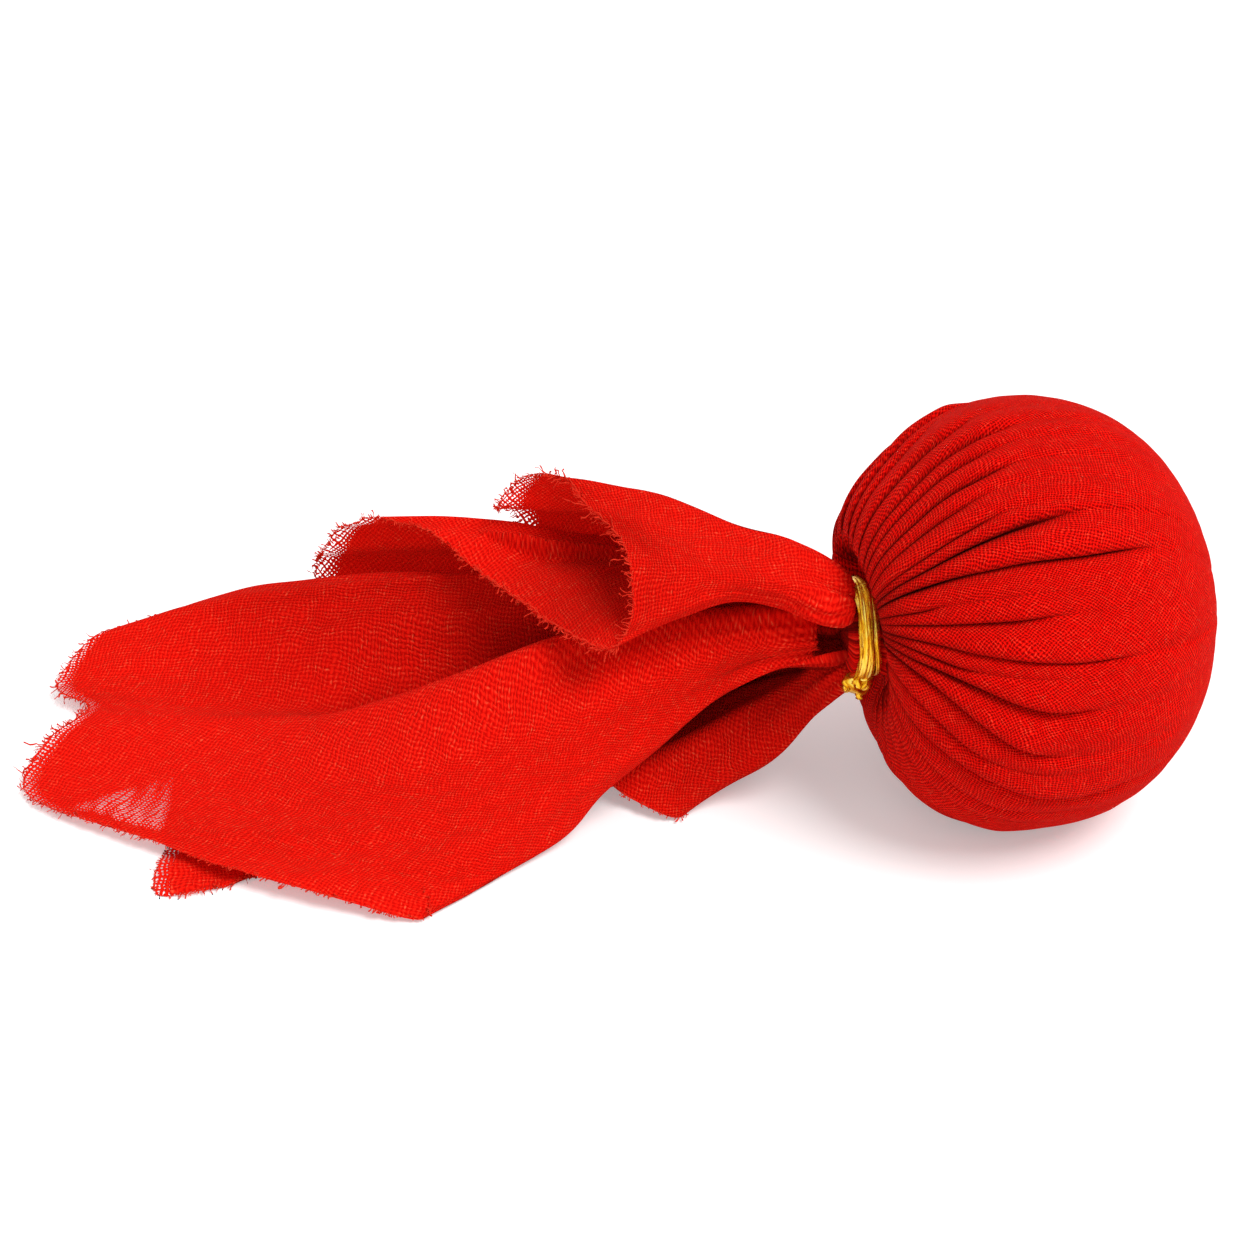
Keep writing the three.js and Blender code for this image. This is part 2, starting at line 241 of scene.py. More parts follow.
def weaveHeight(tree, place):
    # the waves of both sets of threads, and the height of whichever thread is on top
    moved = place
    for scale, detail, size in gauze["wander"]:
        noise = addNode(tree, "ShaderNodeTexNoise", {"Vector": place, "Scale": scale, "Detail": detail})
        moved = vectorMaths(tree, "ADD", {0: moved, 1: centred(tree, noise.outputs["Color"], size)})
    split = addNode(tree, "ShaderNodeSeparateXYZ", {0: moved})
    turn = np.pi / gauze["threadPitch"]
    waves = [maths(tree, "COSINE", maths(tree, "MULTIPLY", split.outputs[axis], turn)) for axis in (0, 1)]
    over = maths(tree, "MULTIPLY", *waves)
    across, lengthways = gauze["slubs"]
    heights = []
    for axis, size, side in [(0, (across, lengthways, 1), 1), (1, (lengthways, across, 1), -1)]:
        stretched = addNode(tree, "ShaderNodeMapping", {"Vector": moved, "Location": (7.3 * axis, 3.1, 0),
                                                        "Scale": size}).outputs[0]
        slub = addNode(tree, "ShaderNodeTexNoise", {"Vector": stretched, "Scale": 1.0, "Detail": 2.5,
                                                    "Roughness": 0.6}).outputs[0]
        ridge = maths(tree, "MULTIPLY", maths(tree, "MULTIPLY", waves[axis], waves[axis]), slub)
        heights.append(maths(tree, "MULTIPLY_ADD", over, side * gauze["crossing"], ridge))
    return waves, maths(tree, "MAXIMUM", *heights)


def openWeave(tree, waves, height):
    # holes between the threads, wider where the cloth is loose and some threads have gone
    loose = shaderAttribute(tree, "loose")
    level = mapped(tree, loose, 0.0, 1.0, *gauze["openBelow"])
    missing = maths(tree, "MULTIPLY", waves[0], gauze["missing"][0])
    missing = maths(tree, "MULTIPLY_ADD", waves[1], gauze["missing"][1], missing)
    return maths(tree, "LESS_THAN", maths(tree, "MULTIPLY_ADD", missing, loose, height), level)


def gauzeMaterial(name, tones, seeThrough):
    material, tree = newMaterial(name)
    place = addNode(tree, "ShaderNodeUVMap", uv_map="weave").outputs[0]
    waves, height = weaveHeight(tree, place)
    # colour: painted shade deep between the threads, clear on them, with a few painted highlights on their
    # tops
    deep, clear, highlightTone = tones
    body = mixed(tree, mapped(tree, height, *gauze["toneHeights"]), deep, clear)
    size, start, end = gauze["highlightGrain"]
    grain = addNode(tree, "ShaderNodeTexNoise", {"Vector": place, "Scale": size, "Detail": 4.0}).outputs[0]
    grain = mapped(tree, grain, start, end)
    paintedHighlight = maths(tree, "MULTIPLY", mapped(tree, height, *gauze["highlightHeights"]), grain, clamp=True)
    colour = mixed(tree, paintedHighlight, body, highlightTone)
    # painted shade: the colour is darkened towards the shade tone where the shade attribute marks creases and
    # cloth under other layers
    colour = mixed(tree, shaderAttribute(tree, "shade"), colour, gauze["paintedShadeTone"])
    bump = addNode(tree, "ShaderNodeBump", {"Height": height, "Strength": 1.0,
                                            "Distance": gauze["bump"] * mm})
    surface = addNode(tree, "ShaderNodeBsdfPrincipled", {
        "Base Color": colour, "Roughness": 0.95, "Specular IOR Level": 0.03, "Normal": bump.outputs[0],
        "Sheen Weight": gauze["sheen"], "Sheen Roughness": 0.45, "Sheen Tint": gauze["sheenTint"]}).outputs[0]
    if seeThrough:
        glow = addNode(tree, "ShaderNodeBsdfTranslucent", {"Color": clear, "Normal": bump.outputs[0]})
        surface = shaderMix(tree, gauze["glow"], surface, glow.outputs[0])
        nothing = addNode(tree, "ShaderNodeBsdfTransparent").outputs[0]
        surface = shaderMix(tree, openWeave(tree, waves, height), surface, nothing)
    setSurface(tree, surface)
    return material


ballGauze = gauzeMaterial("red gauze over filling", gauze["fullTones"], seeThrough=False)
tailGauze = gauzeMaterial("red gauze", gauze["singleTones"], seeThrough=True)
print("cloth materials made")


# the ball: cloth drawn over the filling, tucked into the neck

ball = {
    "rows": 150,
    "rowSpacing": [1.15, 0.995],  # how much closer rows lie near the neck, and where the last one is
    # how far cloth slumps over the tie in mm, and where round the neck the most
    "slump": 5,
    "slumpAngle": -35,
    # half outline from the neck to the front pole, as shares of reach and radius
    "outline": [[-0.83, 0.23], [-0.835, 0.30], [-0.86, 0.38], [-0.87, 0.49], [-0.80, 0.685], [-0.588, 0.867],
                [-0.307, 0.98], [0, 1], [0.302, 0.958], [0.568, 0.84], [0.77, 0.657], [0.907, 0.444],
                [0.976, 0.223], [1, 0]],
    # tucks: angle from the top towards the front, turn on the way, depth in mm and reach towards the pole
    "tucks": [[-29, 0, 1.2, 0.3], [-17.5, 2, 1.7, 0.36], [-5.5, 0, 1.9, 0.43], [1.5, 1, 1.4, 0.4],
              [10, 0.5, 1.8, 0.4], [18, 0, 1.3, 0.34], [29, -3.5, 1.5, 0.36], [34, -5.5, 2.2, 0.5],
              [39.5, 0, 2.7, 0.62], [50, 0, 1.8, 0.22], [56.3, 0, 1.6, 0.44], [63.5, 6, 2.6, 0.57],
              [68, 5, 2, 0.28], [74, 9, 2.3, 0.49], [79, 18, 2.1, 0.43], [93, 10, 1.2, 0.32],
              [107, 6, 2.4, 0.57], [120, 3, 1.5, 0.4], [132, 0, 1.3, 0.35], [146, 0, 1.6, 0.45]],
    "backTucks": 15,
    # their spacing, turn, depth and reach: usual value, change, speed and phase from one to the next
    "backChanges": [[1, 0.2, 2.4, 0], [0, 4, 1.3, 0.4], [1.9, 0.6, 1.9, 1], [0.42, 0.13, 2.7, 0]],
    "gatherAngle": 50,
    "gatherStrength": 0.8,
    "gatherStart": 0.02,
    "gatherReach": 0.12,
    "driftStart": 0.1,  # share of the way where tucks start to turn
    "strength": 1.7,  # how deep the tucks are drawn in the gauze, against the solid
    "tuckLimit": [0.75, 0.2],  # no tuck is deeper than this share of its width and this many mm
    "neckDepth": [0.4, 0.01, 0.07],  # share of the depth that a tuck has at the neck, and where it grows
    "tuckEnd": [0.75, 1.04],  # where a crease runs out, as shares of its reach
    # the soft hollow that a crease runs out into: share of the depth, and where it starts, is full and ends
    "hollow": [0.4, 0.45, 0.9, 1.75],
    "hollowWidths": [0.3, 0.2],  # on its two sides, as shares of the tuck's width
    "lip": 0.75,  # how high cloth bulges beside a crease, as a share of the depth
    "lipStart": 0.7,  # mm
    "overhang": 1.0,  # how far it leans over the crease
    # the crease's steep side, then the gentle one and the lip as shares of the width and at least mm
    "creaseWidth": 0.75,  # mm
    "gentleWidth": [0.22, 0.5],
    "lipWidth": [0.3, 0.6],
    "creaseShade": 0.9,
    "shadeDepths": [1.3, 3.7],  # mm of depth at which a crease starts to look dark and is darkest
    "shadeEnd": [0.7, 1.04],
    "shadeWidth": 0.8,  # mm
    # soft unevenness: height in mm, place and stretch in the noise, and size
    "unevenness": [[0.45, 40, 60, 9], [0.14, 90, 130, 5]],
    "unevenStart": [0.05, 0.3],  # where on the way the larger one comes in
    "slumpBell": [0.3, 0.46, 0.82],  # share of the radius where the slump starts, is full and ends
    "stripWays": [0.55, 0.1],  # where the cloth splits into strips between the tucks, and is split in full
    "poleRadius": 0.3,  # mm
    "leastRadii": [0.05, 2],  # mm, of the cloth and for its lean
    # the waist inside the tie, from its closed end: mm from the back of the tie, share of the neck's radius
    "waist": [[-1.2, 0], [-1, 0.7], [-0.5, 0.9], [0, 0.985]],
    # columns between one crease and the next, close together beside the creases
    "columnParts": [0, 0.03, 0.08, 0.15, 0.24, 0.34, 0.45, 0.56, 0.66, 0.75, 0.82, 0.88, 0.925, 0.955, 0.978,
                    0.993],
    "clothTurn": -15,  # degrees from the threads to the neck
    "seed": 4,
}


def allTucks():
    tucks = [list(tuck) for tuck in ball["tucks"]]
    last = tucks[-1][0]
    pitch = (360 + tucks[0][0] - last) / (ball["backTucks"] + 1)
    for k in range(ball["backTucks"]):
        beside, drift, depth, reach = (usual + change * np.sin(speed * k + phase)
                                       for usual, change, speed, phase in ball["backChanges"])
        tucks.append([last + pitch * (k + beside), drift, depth, reach])
    return np.array(tucks)


def gatheredAngle(angle, way):
    # angle of the cloth, drawn towards one place on the front of the neck
    past = np.maximum(way - ball["gatherStart"], 0)
    gathered = ball["gatherStrength"] * np.exp(-past / ball["gatherReach"])
    turn = (angle - ball["gatherAngle"] + 180) % 360 - 180
    return ball["gatherAngle"] + turn * (1 - gathered * np.cos(np.radians(turn / 2)) ** 2)


def ballOutlinePoints(ways):
    # the same plain spline as the source's, with its end points repeated
    points = np.array(ball["outline"], float)
    ends = np.vstack([points[:1], points, points[-1:]])
    share, parts = splineShares, []
    for k in range(len(points) - 1):
        before, start, end, after = ends[k:k + 4]
        leave, arrive = (end - before) / 2, (after - start) / 2
        parts.append(start + leave * share + (3 * (end - start) - 2 * leave - arrive) * share ** 2
                     + (2 * (start - end) + leave + arrive) * share ** 3)
    return atWays(parts + [points[-1:]], ways)[0]


def tuckLift(way, width, depth, reach):
    # lift, lean and shade of the cloth between each crease and the next, by row, tuck and column
    limit = ball["tuckLimit"][0] * width + ball["tuckLimit"][1]
    least, low, high = ball["neckDepth"]
    grow = least + (1 - least) * smooth(way, low, high)
    low, high = ball["tuckEnd"]
    size = np.minimum(depth * ball["strength"], limit) * grow
    size = size * (1 - smooth(way, low * reach, high * reach))
    share, start, full, end = ball["hollow"]
    softSize = share * depth * hump(way, start * reach, full * reach, reach, end * reach)
    parts = np.array(ball["columnParts"])
    width, size, softSize, limit = width[..., None], size[..., None], softSize[..., None], limit[..., None]
    nextSize = np.minimum(np.roll(size, -1, axis=1), limit)
    fromCrease, toCrease = parts * width, (1 - parts) * width
    gentle, lip = (np.maximum(part * width, least) for part, least in (ball["gentleWidth"], ball["lipWidth"]))
    rise = np.exp(-fromCrease / gentle)
    steep = np.exp(-toCrease / ball["creaseWidth"])
    bulge = (1 - np.exp(-toCrease / ball["lipStart"])) * np.exp(-toCrease / lip)
    lift = nextSize * (ball["lip"] * bulge - steep) - size * rise
    wide, narrow = ball["hollowWidths"]
    lift = lift - softSize * np.exp(-(fromCrease / (wide * width)) ** 2)
    lift = lift - np.roll(softSize, -1, axis=1) * np.exp(-(toCrease / (narrow * width)) ** 2)
    low, high = ball["shadeDepths"]
    dark = np.clip((depth * ball["strength"] - low) / (high - low), 0, 1)
    low, high = ball["shadeEnd"]
    dark = (dark * (1 - smooth(way, low * reach, high * reach)))[..., None]
    shade = np.maximum(np.roll(dark, -1, axis=1) * steep, dark * np.exp(-fromCrease / ball["shadeWidth"]))
    return lift, ball["overhang"] * nextSize * bulge, ball["creaseShade"] * shade


def ballSurface():
    rows = ball["rows"]
    crowding, end = ball["rowSpacing"]
    way = (np.linspace(0, 1, rows) ** crowding * end)[:, None]
    share, wide = (part[:, None] for part in ballOutlinePoints(way[:, 0]).T)
    radius = wide * ballRadius
    start, drift, depth, reach = allTucks().T
    places = start + drift * smooth(way, ball["driftStart"], reach)  # row, tuck
    nextPlaces = np.concatenate([places[:, 1:], places[:, :1] + 360], 1)
    width = np.radians((gatheredAngle(nextPlaces, way) - gatheredAngle(places, way)) % 360) * radius
    lift, lean, shade = tuckLift(way, width, depth, reach)
    angle = places[..., None] + (nextPlaces - places)[..., None] * np.array(ball["columnParts"])
    degrees = gatheredAngle(angle, way[..., None])
    middle = np.broadcast_to(((places + nextPlaces) / 2)[..., None], angle.shape)
    grids = (angle, degrees, lift, lean, shade, middle)
    angle, degrees, lift, lean, shade, middle = (grid.reshape(rows, -1) for grid in grids)
    fade = smooth(way, *ball["unevenStart"])
    for step, (height, shift, stretch, size) in enumerate(ball["unevenness"]):
        place = [shift + way * stretch * part(np.radians(angle)) for part in (np.cos, np.sin)]
        lift = lift + height * cloudNoise(*place, size, ball["seed"] + step) * (fade if step == 0 else 1)
    turn = np.radians(degrees - ball["slumpAngle"])
    low, full, high = ball["slumpBell"]
    slump = ball["slump"] * hump(wide, low, full, full, high) * (0.5 + 0.5 * np.cos(turn))
    x = share * frontReach - slump * (share < 0)
    out = np.maximum(radius + lift, ball["leastRadii"][0])
    turned = np.radians(degrees) + lean / np.maximum(radius, ball["leastRadii"][1])
    points = np.stack([x, -out * np.sin(turned), neckHeight + out * np.cos(turned)], -1)
    points[..., 2] = np.maximum(points[..., 2], 0)
    # cloth coordinates: even over the front, and in strips between the tucks towards the neck
    step = np.hypot(np.diff(share[:, 0]) * frontReach, np.diff(radius[:, 0]))
    arc = np.append(np.cumsum(step[::-1])[::-1], 0)[:, None] + ball["poleRadius"]
    squeeze = 1 - smooth(way, *ball["stripWays"]) * (1 - radius / arc)
    clothAngle = np.radians(middle + (angle - middle) * squeeze + ball["clothTurn"])
    uv = np.stack([arc * np.cos(clothAngle), arc * np.sin(clothAngle)], -1)
    return points, uv, shade


def makeBall():
    surface, uv, shade = ballSurface()
    rows, columns = surface.shape[:2]
    # the waist under the tie, down to a closed end inside the neck
    ring = surface[0] - [0, 0, neckHeight]
    ring = ring / np.linalg.norm(ring[:, 1:], axis=1)[:, None]
    waist = []
    levels = [(tieBack + behind, wide) for behind, wide in ball["waist"]]
    end, widest = levels[0][0], levels[-1][1]
    for x, wide in levels[1:] + [(neckX, widest), (tieFront, widest)]:
        level = ring * wide * neckRadius + [0, 0, neckHeight]
        level[:, 0] = x
        waist.append(level)
    grid = np.concatenate([np.array(waist), surface])
    uvs = np.concatenate([np.repeat(uv[:1], len(waist), axis=0), uv])
    shades = np.concatenate([np.repeat(shade[:1], len(waist), axis=0).ravel(), shade.ravel(), [0, 0]])
    rows = len(grid)
    points = np.vstack([grid.reshape(-1, 3), [[end, 0, neckHeight]], [[frontReach, 0, neckHeight]]])
    faces = gridFaces(rows, columns).tolist()
    back, pole = rows * columns, rows * columns + 1
    faces += [[back, (k + 1) % columns, k] for k in range(columns)]
    last = (rows - 1) * columns
    faces += [[pole, last + k, last + (k + 1) % columns] for k in range(columns)]
    uvPoints = np.vstack([uvs.reshape(-1, 2), [[0, 0]], [[0, 0]]])
    return meshPiece("ball_cover", points, faces, ballGauze, uvPoints, {"shade": shades})


ballCover = makeBall()
print("ball made")


# the tail: the loose corners of the square, folded behind the neck

tail = {
    "rows": 120,
    "rowSpacing": 1.12,  # how much closer rows lie near the neck
    "columnStep": 2.0,  # mm at the widest place
    "fewestColumns": 11,  # from one fold line to the next
    "pinch": 0.36,
    "pinchInset": [1.0, 0.3],  # mm inside the neck's radius and ahead of the back of the tie
    # the fan of threads: mm from its middle to the neck, share of the rows where its width is taken, and the
    # least share of a squared gap that counts as sideways
    "fanStart": 12,
    "fanRow": 0.8,
    "fanLeast": 0.04,
    "threadShares": [0.92, 0.72],  # how close threads lie against the ball's, near the neck and far out
    "threadChange": [50, 150],  # where that changes, in mm from the neck
    "clothTurn": 28,  # degrees from the threads to the front wing's middle fold line
    "turnLine": 19,
    "bundleMiddle": [15, 40],
    "pleats": 60,
    "pleatWander": [[1.4, 11, 0], [0.8, 17, 1]],  # radians, number round the neck and phase
    "pleatDepth": 2.0,
    "pleatStart": 5,  # mm
    "pleatFade": 24,
    # how strong those pleats are at each fold line, 1 where it isn't named
    "pleatShares": {0: 0.2, 1: 0.12, 2: 0.12, 3: 0.15, 4: 0.3, 5: 0.6, 17: 0.5, 18: 0.3, 19: 0.25, 20: 0.25,
                    21: 0.3, 22: 0.25, 28: 0.5, 29: 0.35, 30: 0.3, 31: 0.4, 32: 0.6, 38: 0.8, 39: 0.35},
    # how far the cloth puffs out beside the tie at each fold line in mm, where it isn't the usual, and the
    # way from the neck where that is full, starts to fade and is gone
    "puffs": {3: 2.4, 4: 2.2, 5: 0.5, 16: 0.0, 17: -2.5, 18: -4.5, 19: -4.5, 20: -4.0, 21: -2.5, 22: 1.6,
              23: 1.6},
    "usualPuff": 2.0,
    "puffWays": [3, 5, 17],
    # how far it bulges towards the tie in mm, and where that starts, is full and ends
    "againstTie": {39: 0.8, 0: 0.9, 1: 1.0, 2: 1.0, 3: 1.1, 4: 1.1, 5: 0.6, 22: 0.9, 29: 1.0, 30: 1.2,
                   31: 1.0},
    "againstWays": [0.3, 2, 9],
    "creases": [130, 0.22, 9, 0.8],  # long and soft: stretch round and along the fan, size and height
    "creaseStart": [15, 45],
    "crumple": [8, 0.28],  # mm across and high
    # the rounded end of the front wing's fold: fold lines that it spans, mm from the neck, height and turn
    "foldEnd": [16.6, 21.6, 10.0, 3.6, 4.0],
    "foldEndFades": [0.7, 0.9],  # fold lines over which it comes and goes
    # ways in mm from where it starts: of the roll, of the recess before it and of its turn to the tie
    "rollWays": [-2.5, 0, 1, 24],
    "recessWays": [-2, 0.5],
    "lapWays": [-1.2, 0.6, 1, 9],
    # how deep the ruffles are at each fold line, in mm
    "ruffles": {9: 0.6, 10: 2.2, 11: 3, 12: 3.2, 13: 3, 14: 0.5, 23: 0.8, 24: 1.5, 25: 0.5, 26: 0.5, 27: 2.2,
                28: 2.8, 29: 1.4, 31: 2, 32: 3.2, 33: 3.8, 34: 3.8, 35: 3.8, 36: 3.8, 37: 3.4, 38: 1.5},
    "ruffleWidth": 13,
    "ruffleWander": [0.9, 5],  # radians and times round the neck
    "ruffleStart": [8, 55],
    "lowest": 0.25,  # mm above the floor
    "seed": 11,
    # fold lines in turn round the neck: the point pinched into the neck, then points out to the cut edge as
    # mm behind the neck, away from the front and up from the floor
    "foldLines": [
        # upper fold: top ridge, front and low edge
        [2, [6, 4, 59], [12, 9, 63], [24, 18, 63.5], [39, 32, 64.5], [59, 46, 62.7]],
        [2, [6, 0, 58], [14, 4, 63], [26, 11, 63], [40, 23, 63], [54, 37, 60]],
        [1, [16, 0, 62], [29, 6, 62.3], [40, 14, 62.5], [49, 25, 59]],
        [1, [17, -4, 61], [30, 2, 60.5], [39, 7, 59.5], [48, 14, 57]],
        [1, [12, -5, 55], [27, 0, 58], [39, 2, 54.5], [50, 5, 48]],
        # floor of the upper fold, out to its back corner
        [0, [27, 6, 52], [40, 9, 47], [55, 2, 45.5]],
        [0, [27, 14, 51.5], [44, 20, 46], [64, 15, 43]],
        [0, [28, 24, 50], [50, 38, 44.5], [78, 42, 42]],
        [0, [30, 33, 48.5], [58, 46, 44], [89, 59, 43]],
        [0, [30, 37, 46.5], [58, 52, 43.5], [80, 62, 43.5], [103, 69, 41]],
        # under layer behind it, down to the floor and back up
        [0, [30, 38, 38], [60, 59, 27], [111, 86, 14]],
        [0, [28, 36, 30], [50, 66, 14], [80, 94, 1.2]],
        [0, [27, 31, 27], [44, 58, 10], [62, 80, 1.5]],
        [0, [28, 27, 33], [62, 60, 18], [106, 80, 1.2]],
        # back wing
        [0, [30, 26, 43], [57, 42, 38.5], [94, 59, 31], [140, 75, 19], [162, 78, 11]],
        [0, [30, 21, 41.5], [58, 35, 35], [100, 55, 22], [175, 67, 3.5]],
        [0, [30, 16, 39], [57, 31, 26], [97, 40, 11], [126, 45, 8], [168, 57, 4.2]],
        # front wing
        [0, [27, 13, 45.5], [45, 19, 42.5], [62, 21, 38], [87, 23, 27], [121, 34.5, 12], [170, 52, 5.2]],
        [0, [28, 7, 42.5], [45, 12, 38], [87, 14, 24.5], [130, 29, 9], [178, 45, 4.5]],
        [0, [28, 4, 39.5], [45, 6, 33], [95, 4, 17], [140, 20, 7], [184, 31, 2.5]],
        [0, [27, 2, 37.5], [45, 2, 28], [94, -7, 10.5], [154, 3, 4]],
        [0, [26, 0.5, 36.5], [45, -1, 24], [90, -16, 6], [128, -17, 4.5]],
        [1, [11, -4, 41.5], [24, -2, 36], [32, -1, 30], [44, -2.5, 20], [56, -4, 11.5], [68, -9, 3],
         [100, -28, 1.2]],
        # layer under the front wing, with the low corner
        [0, [25, 5, 32], [45, 8, 17], [68, 4, 7], [104, -8, 3]],
        [0, [25, 9, 30.5], [45, 16, 15.5], [70, 16, 6], [112, 12, 2.8]],
        [0, [25, 10, 29], [45.5, 13, 14], [76, 8, 4.2], [112, 2, 1.8], [137, -8, 1]],
        [0, [25, 11, 27.5], [46, 10, 12.5], [80, 2, 3], [133, -5, 1.3], [157, -9, 1]],
        [0, [26, 17, 25], [50, 22, 10], [85, 24, 2], [140, 24, 0.5]],
        [0, [22, 18, 23], [42, 30, 8], [66, 38, 1.5]],
        # short flap below the neck
        [0, [20, 6, 22], [36, 6, 12], [53, 4, 5]],
        [1, [9, -3, 26.5], [20, -2.5, 13], [31, -1, 5.5], [40, -3, 0.7]],
        [0, [20, 6, 8], [36, 6, 0.7]],
        # back drape
        [0, [21, 20, 6], [34, 36, 0.7]],
        [0, [21, 32, 15], [32, 50, 7], [50, 80, 0.7]],
        [0, [21, 34, 22], [34, 52, 13], [62, 82, 3]],
        [0, [22, 32, 30], [34, 47, 24], [56, 70, 17]],
        [0, [22, 33, 37], [37, 50, 33], [57, 73, 28]],
        [0, [22, 28, 45], [38, 44, 42], [63, 60, 40]],
        [0, [22, 24, 53], [40, 42, 52], [72, 54, 50]],
        [1, [9, 8, 57], [22, 20, 60.5], [40, 36, 60], [66, 51, 60]],
    ],
    # how loose the cut edge is at each fold line, from 0 to 1, and how far the looseness reaches in mm
    "looseEdges": {8: [0.7, 4], 9: [1, 9], 10: [1, 11], 11: [0.7, 6], 13: [0.7, 5], 14: [0.8, 7],
                   15: [0.85, 9], 16: [0.75, 7], 17: [0.8, 6], 18: [0.9, 8], 19: [0.85, 8], 20: [0.5, 3],
                   24: [0.6, 4], 25: [0.7, 4], 26: [0.85, 8], 27: [0.85, 7], 37: [0.9, 9], 38: [1, 11],
                   39: [0.9, 7]},
    "looseRest": [0.5, 1.5],
    "looseCurve": 0.8,
    # cloth in the shade of others: first and last fold line, mm from the neck where it starts, the two where
    # it fades, and how dark
    "shades": [[22.7, 28.6, 8, [45, 85], 0.72], [5.6, 9, 16, [55, 95], 0.42],
               [13.6, 16.7, 30, [130, 175], 0.24], [28.7, 31.4, 8, [45, 70], 0.26],
               [16.6, 28.6, 0, [3, 7], 0.6]],
    "shadeFades": [-0.5, 0.2, -0.2, 0.5],  # in fold lines, from the first one and from the last
    "shadeRise": 8,  # mm
    "recessShade": 0.6,
    "pleatShade": [0.45, 0.2, 1],  # and the depths, as shares, where it starts and is full
    # the valley between the wings, dark up to its fold line
    "valleyLine": 16.68,
    "valleyEdge": 0.03,
    "valleyShade": 0.86,
    "valleyWidth": 17,
    "valleyWays": [30, 55, 110, 150],
    # a worn patch near the front wing's end: corners as mm behind the neck and away from the front
    "wornPatch": [[146, 29], [181, 23], [152, 2]],
    "wornEdge": 4,  # mm
    "wornLevel": 0.86,
    "wornLines": [18, 20.9],
    "wornStretch": [0.97, 0.24, 0.12],  # of its streaks, across them backwards and sideways, and along them
    "wornStreaks": [1.5, 0.75, 0.45],  # size in mm, usual level and change
    # creases: path as fold line place and mm from the neck, the side that leans over it (1 or -1), depth,
    # width of the gentle side and of the steep one, and height of the lip, in mm
    "folds": [
        [[[6.95, 50], [7.27, 61], [7.36, 72], [7.73, 83], [8.18, 90]], 1, 4.0, 4.5, 0.8, 2.2],
        [[[6.8, 50], [6.73, 60], [6.67, 68]], 1, 1.3, 2.5, 0.9, 0.8],
        [[[16.75, 48], [16.6, 70], [16.55, 90], [16.6, 110], [16.7, 132]], -1, 6.0, 6.0, 2.0, 1.2],
    ],
    "foldFades": [-4, 6, -12, 2],  # mm from a crease's first point and from its last
    "lipReach": 1.2,  # against the width of the gentle side
}


def foldLine(line, ways):
    # points on a fold line at shares of its length, from inside the neck, with the length
    pinched, points = line[0], np.array(line[1:], float)
    inside, forward = tail["pinchInset"]
    start = (points[pinched][1:] - tail["bundleMiddle"]) * tail["pinch"]
    start = start * min(1, (neckRadius - inside) / np.linalg.norm(start))
    outside = np.stack([neckX - points[:, 0], points[:, 1], points[:, 2]], -1)
    points = np.vstack([[tieBack + forward, start[0], neckHeight + start[1]], outside])
    ends = np.vstack([2 * points[0] - points[1], points, 2 * points[-1] - points[-2]])
    parts = [along(*ends[k:k + 4], splineShares) for k in range(len(points) - 1)]
    return atWays(parts + [points[-1:]], ways)


def atLines(values, rest, place):
    # a value at places between fold lines, from the lines that name one
    count = len(tail["foldLines"])
    full = np.array([float(values.get(line, rest)) for line in range(count)])
    return np.interp(place, np.arange(count + 1), np.append(full, full[0]))


def foldShape(place, reach, spread, path, side, depth, gentle, steep, lip):
    # a crease along a path, with a gentle side and a steep one that ends in a lip
    places, ways = np.array(path, float).T
    distance = side * (place[None] - np.interp(reach, ways, places)) * spread
    start, full, fade, end = tail["foldFades"]
    share = hump(reach, ways[0] + start, ways[0] + full, ways[-1] + fade, ways[-1] + end)
    far = np.abs(distance)
    wall = np.exp(-far / steep)
    steepSide = -depth * wall + lip * (1 - wall) * np.exp(-far / (tail["lipReach"] * gentle))
    return share * np.where(distance > 0, -depth * np.exp(-far / gentle), steepSide)


def insideCorners(points, corners, edge):
    # 1 well inside a triangle, 0 outside, with a soft edge
    corners = np.array(corners, float)
    inside = np.full(points.shape[:-1], 1.0)
    for k in range(3):
        start, end, other = corners[k], corners[(k + 1) % 3], corners[(k + 2) % 3]
        across = np.array([start[1] - end[1], end[0] - start[0]])
        across = across / np.linalg.norm(across) * np.sign(np.dot(across, other - start))
        inside = np.minimum(inside, smooth((points - start) @ across, 0, edge))
    return inside


def tailGrid():
    # a smooth surface through the fold lines, the place of each column between them and the length of it
    ways = np.linspace(0, 1, tail["rows"]) ** tail["rowSpacing"]
    lines, lengths = zip(*[foldLine(line, ways) for line in tail["foldLines"]])
    lines = np.array(lines)  # fold line, row, xyz
    count = len(lines)
    parts, place = [], []
    for k in range(count):
        before, start, end, after = (lines[(k + step) % count] for step in (-1, 0, 1, 2))
        widest = np.linalg.norm(end - start, axis=1).max()
        facets = max(tail["fewestColumns"], int(widest / tail["columnStep"]))
        for share in np.arange(facets) / facets:
            parts.append(along(before, start, end, after, share))
            place.append(k + share)
    length = np.interp(place, np.arange(count + 1), np.append(lengths, lengths[0]))
    return np.stack(parts, 1), np.array(place), ways[:, None] * length[None], length


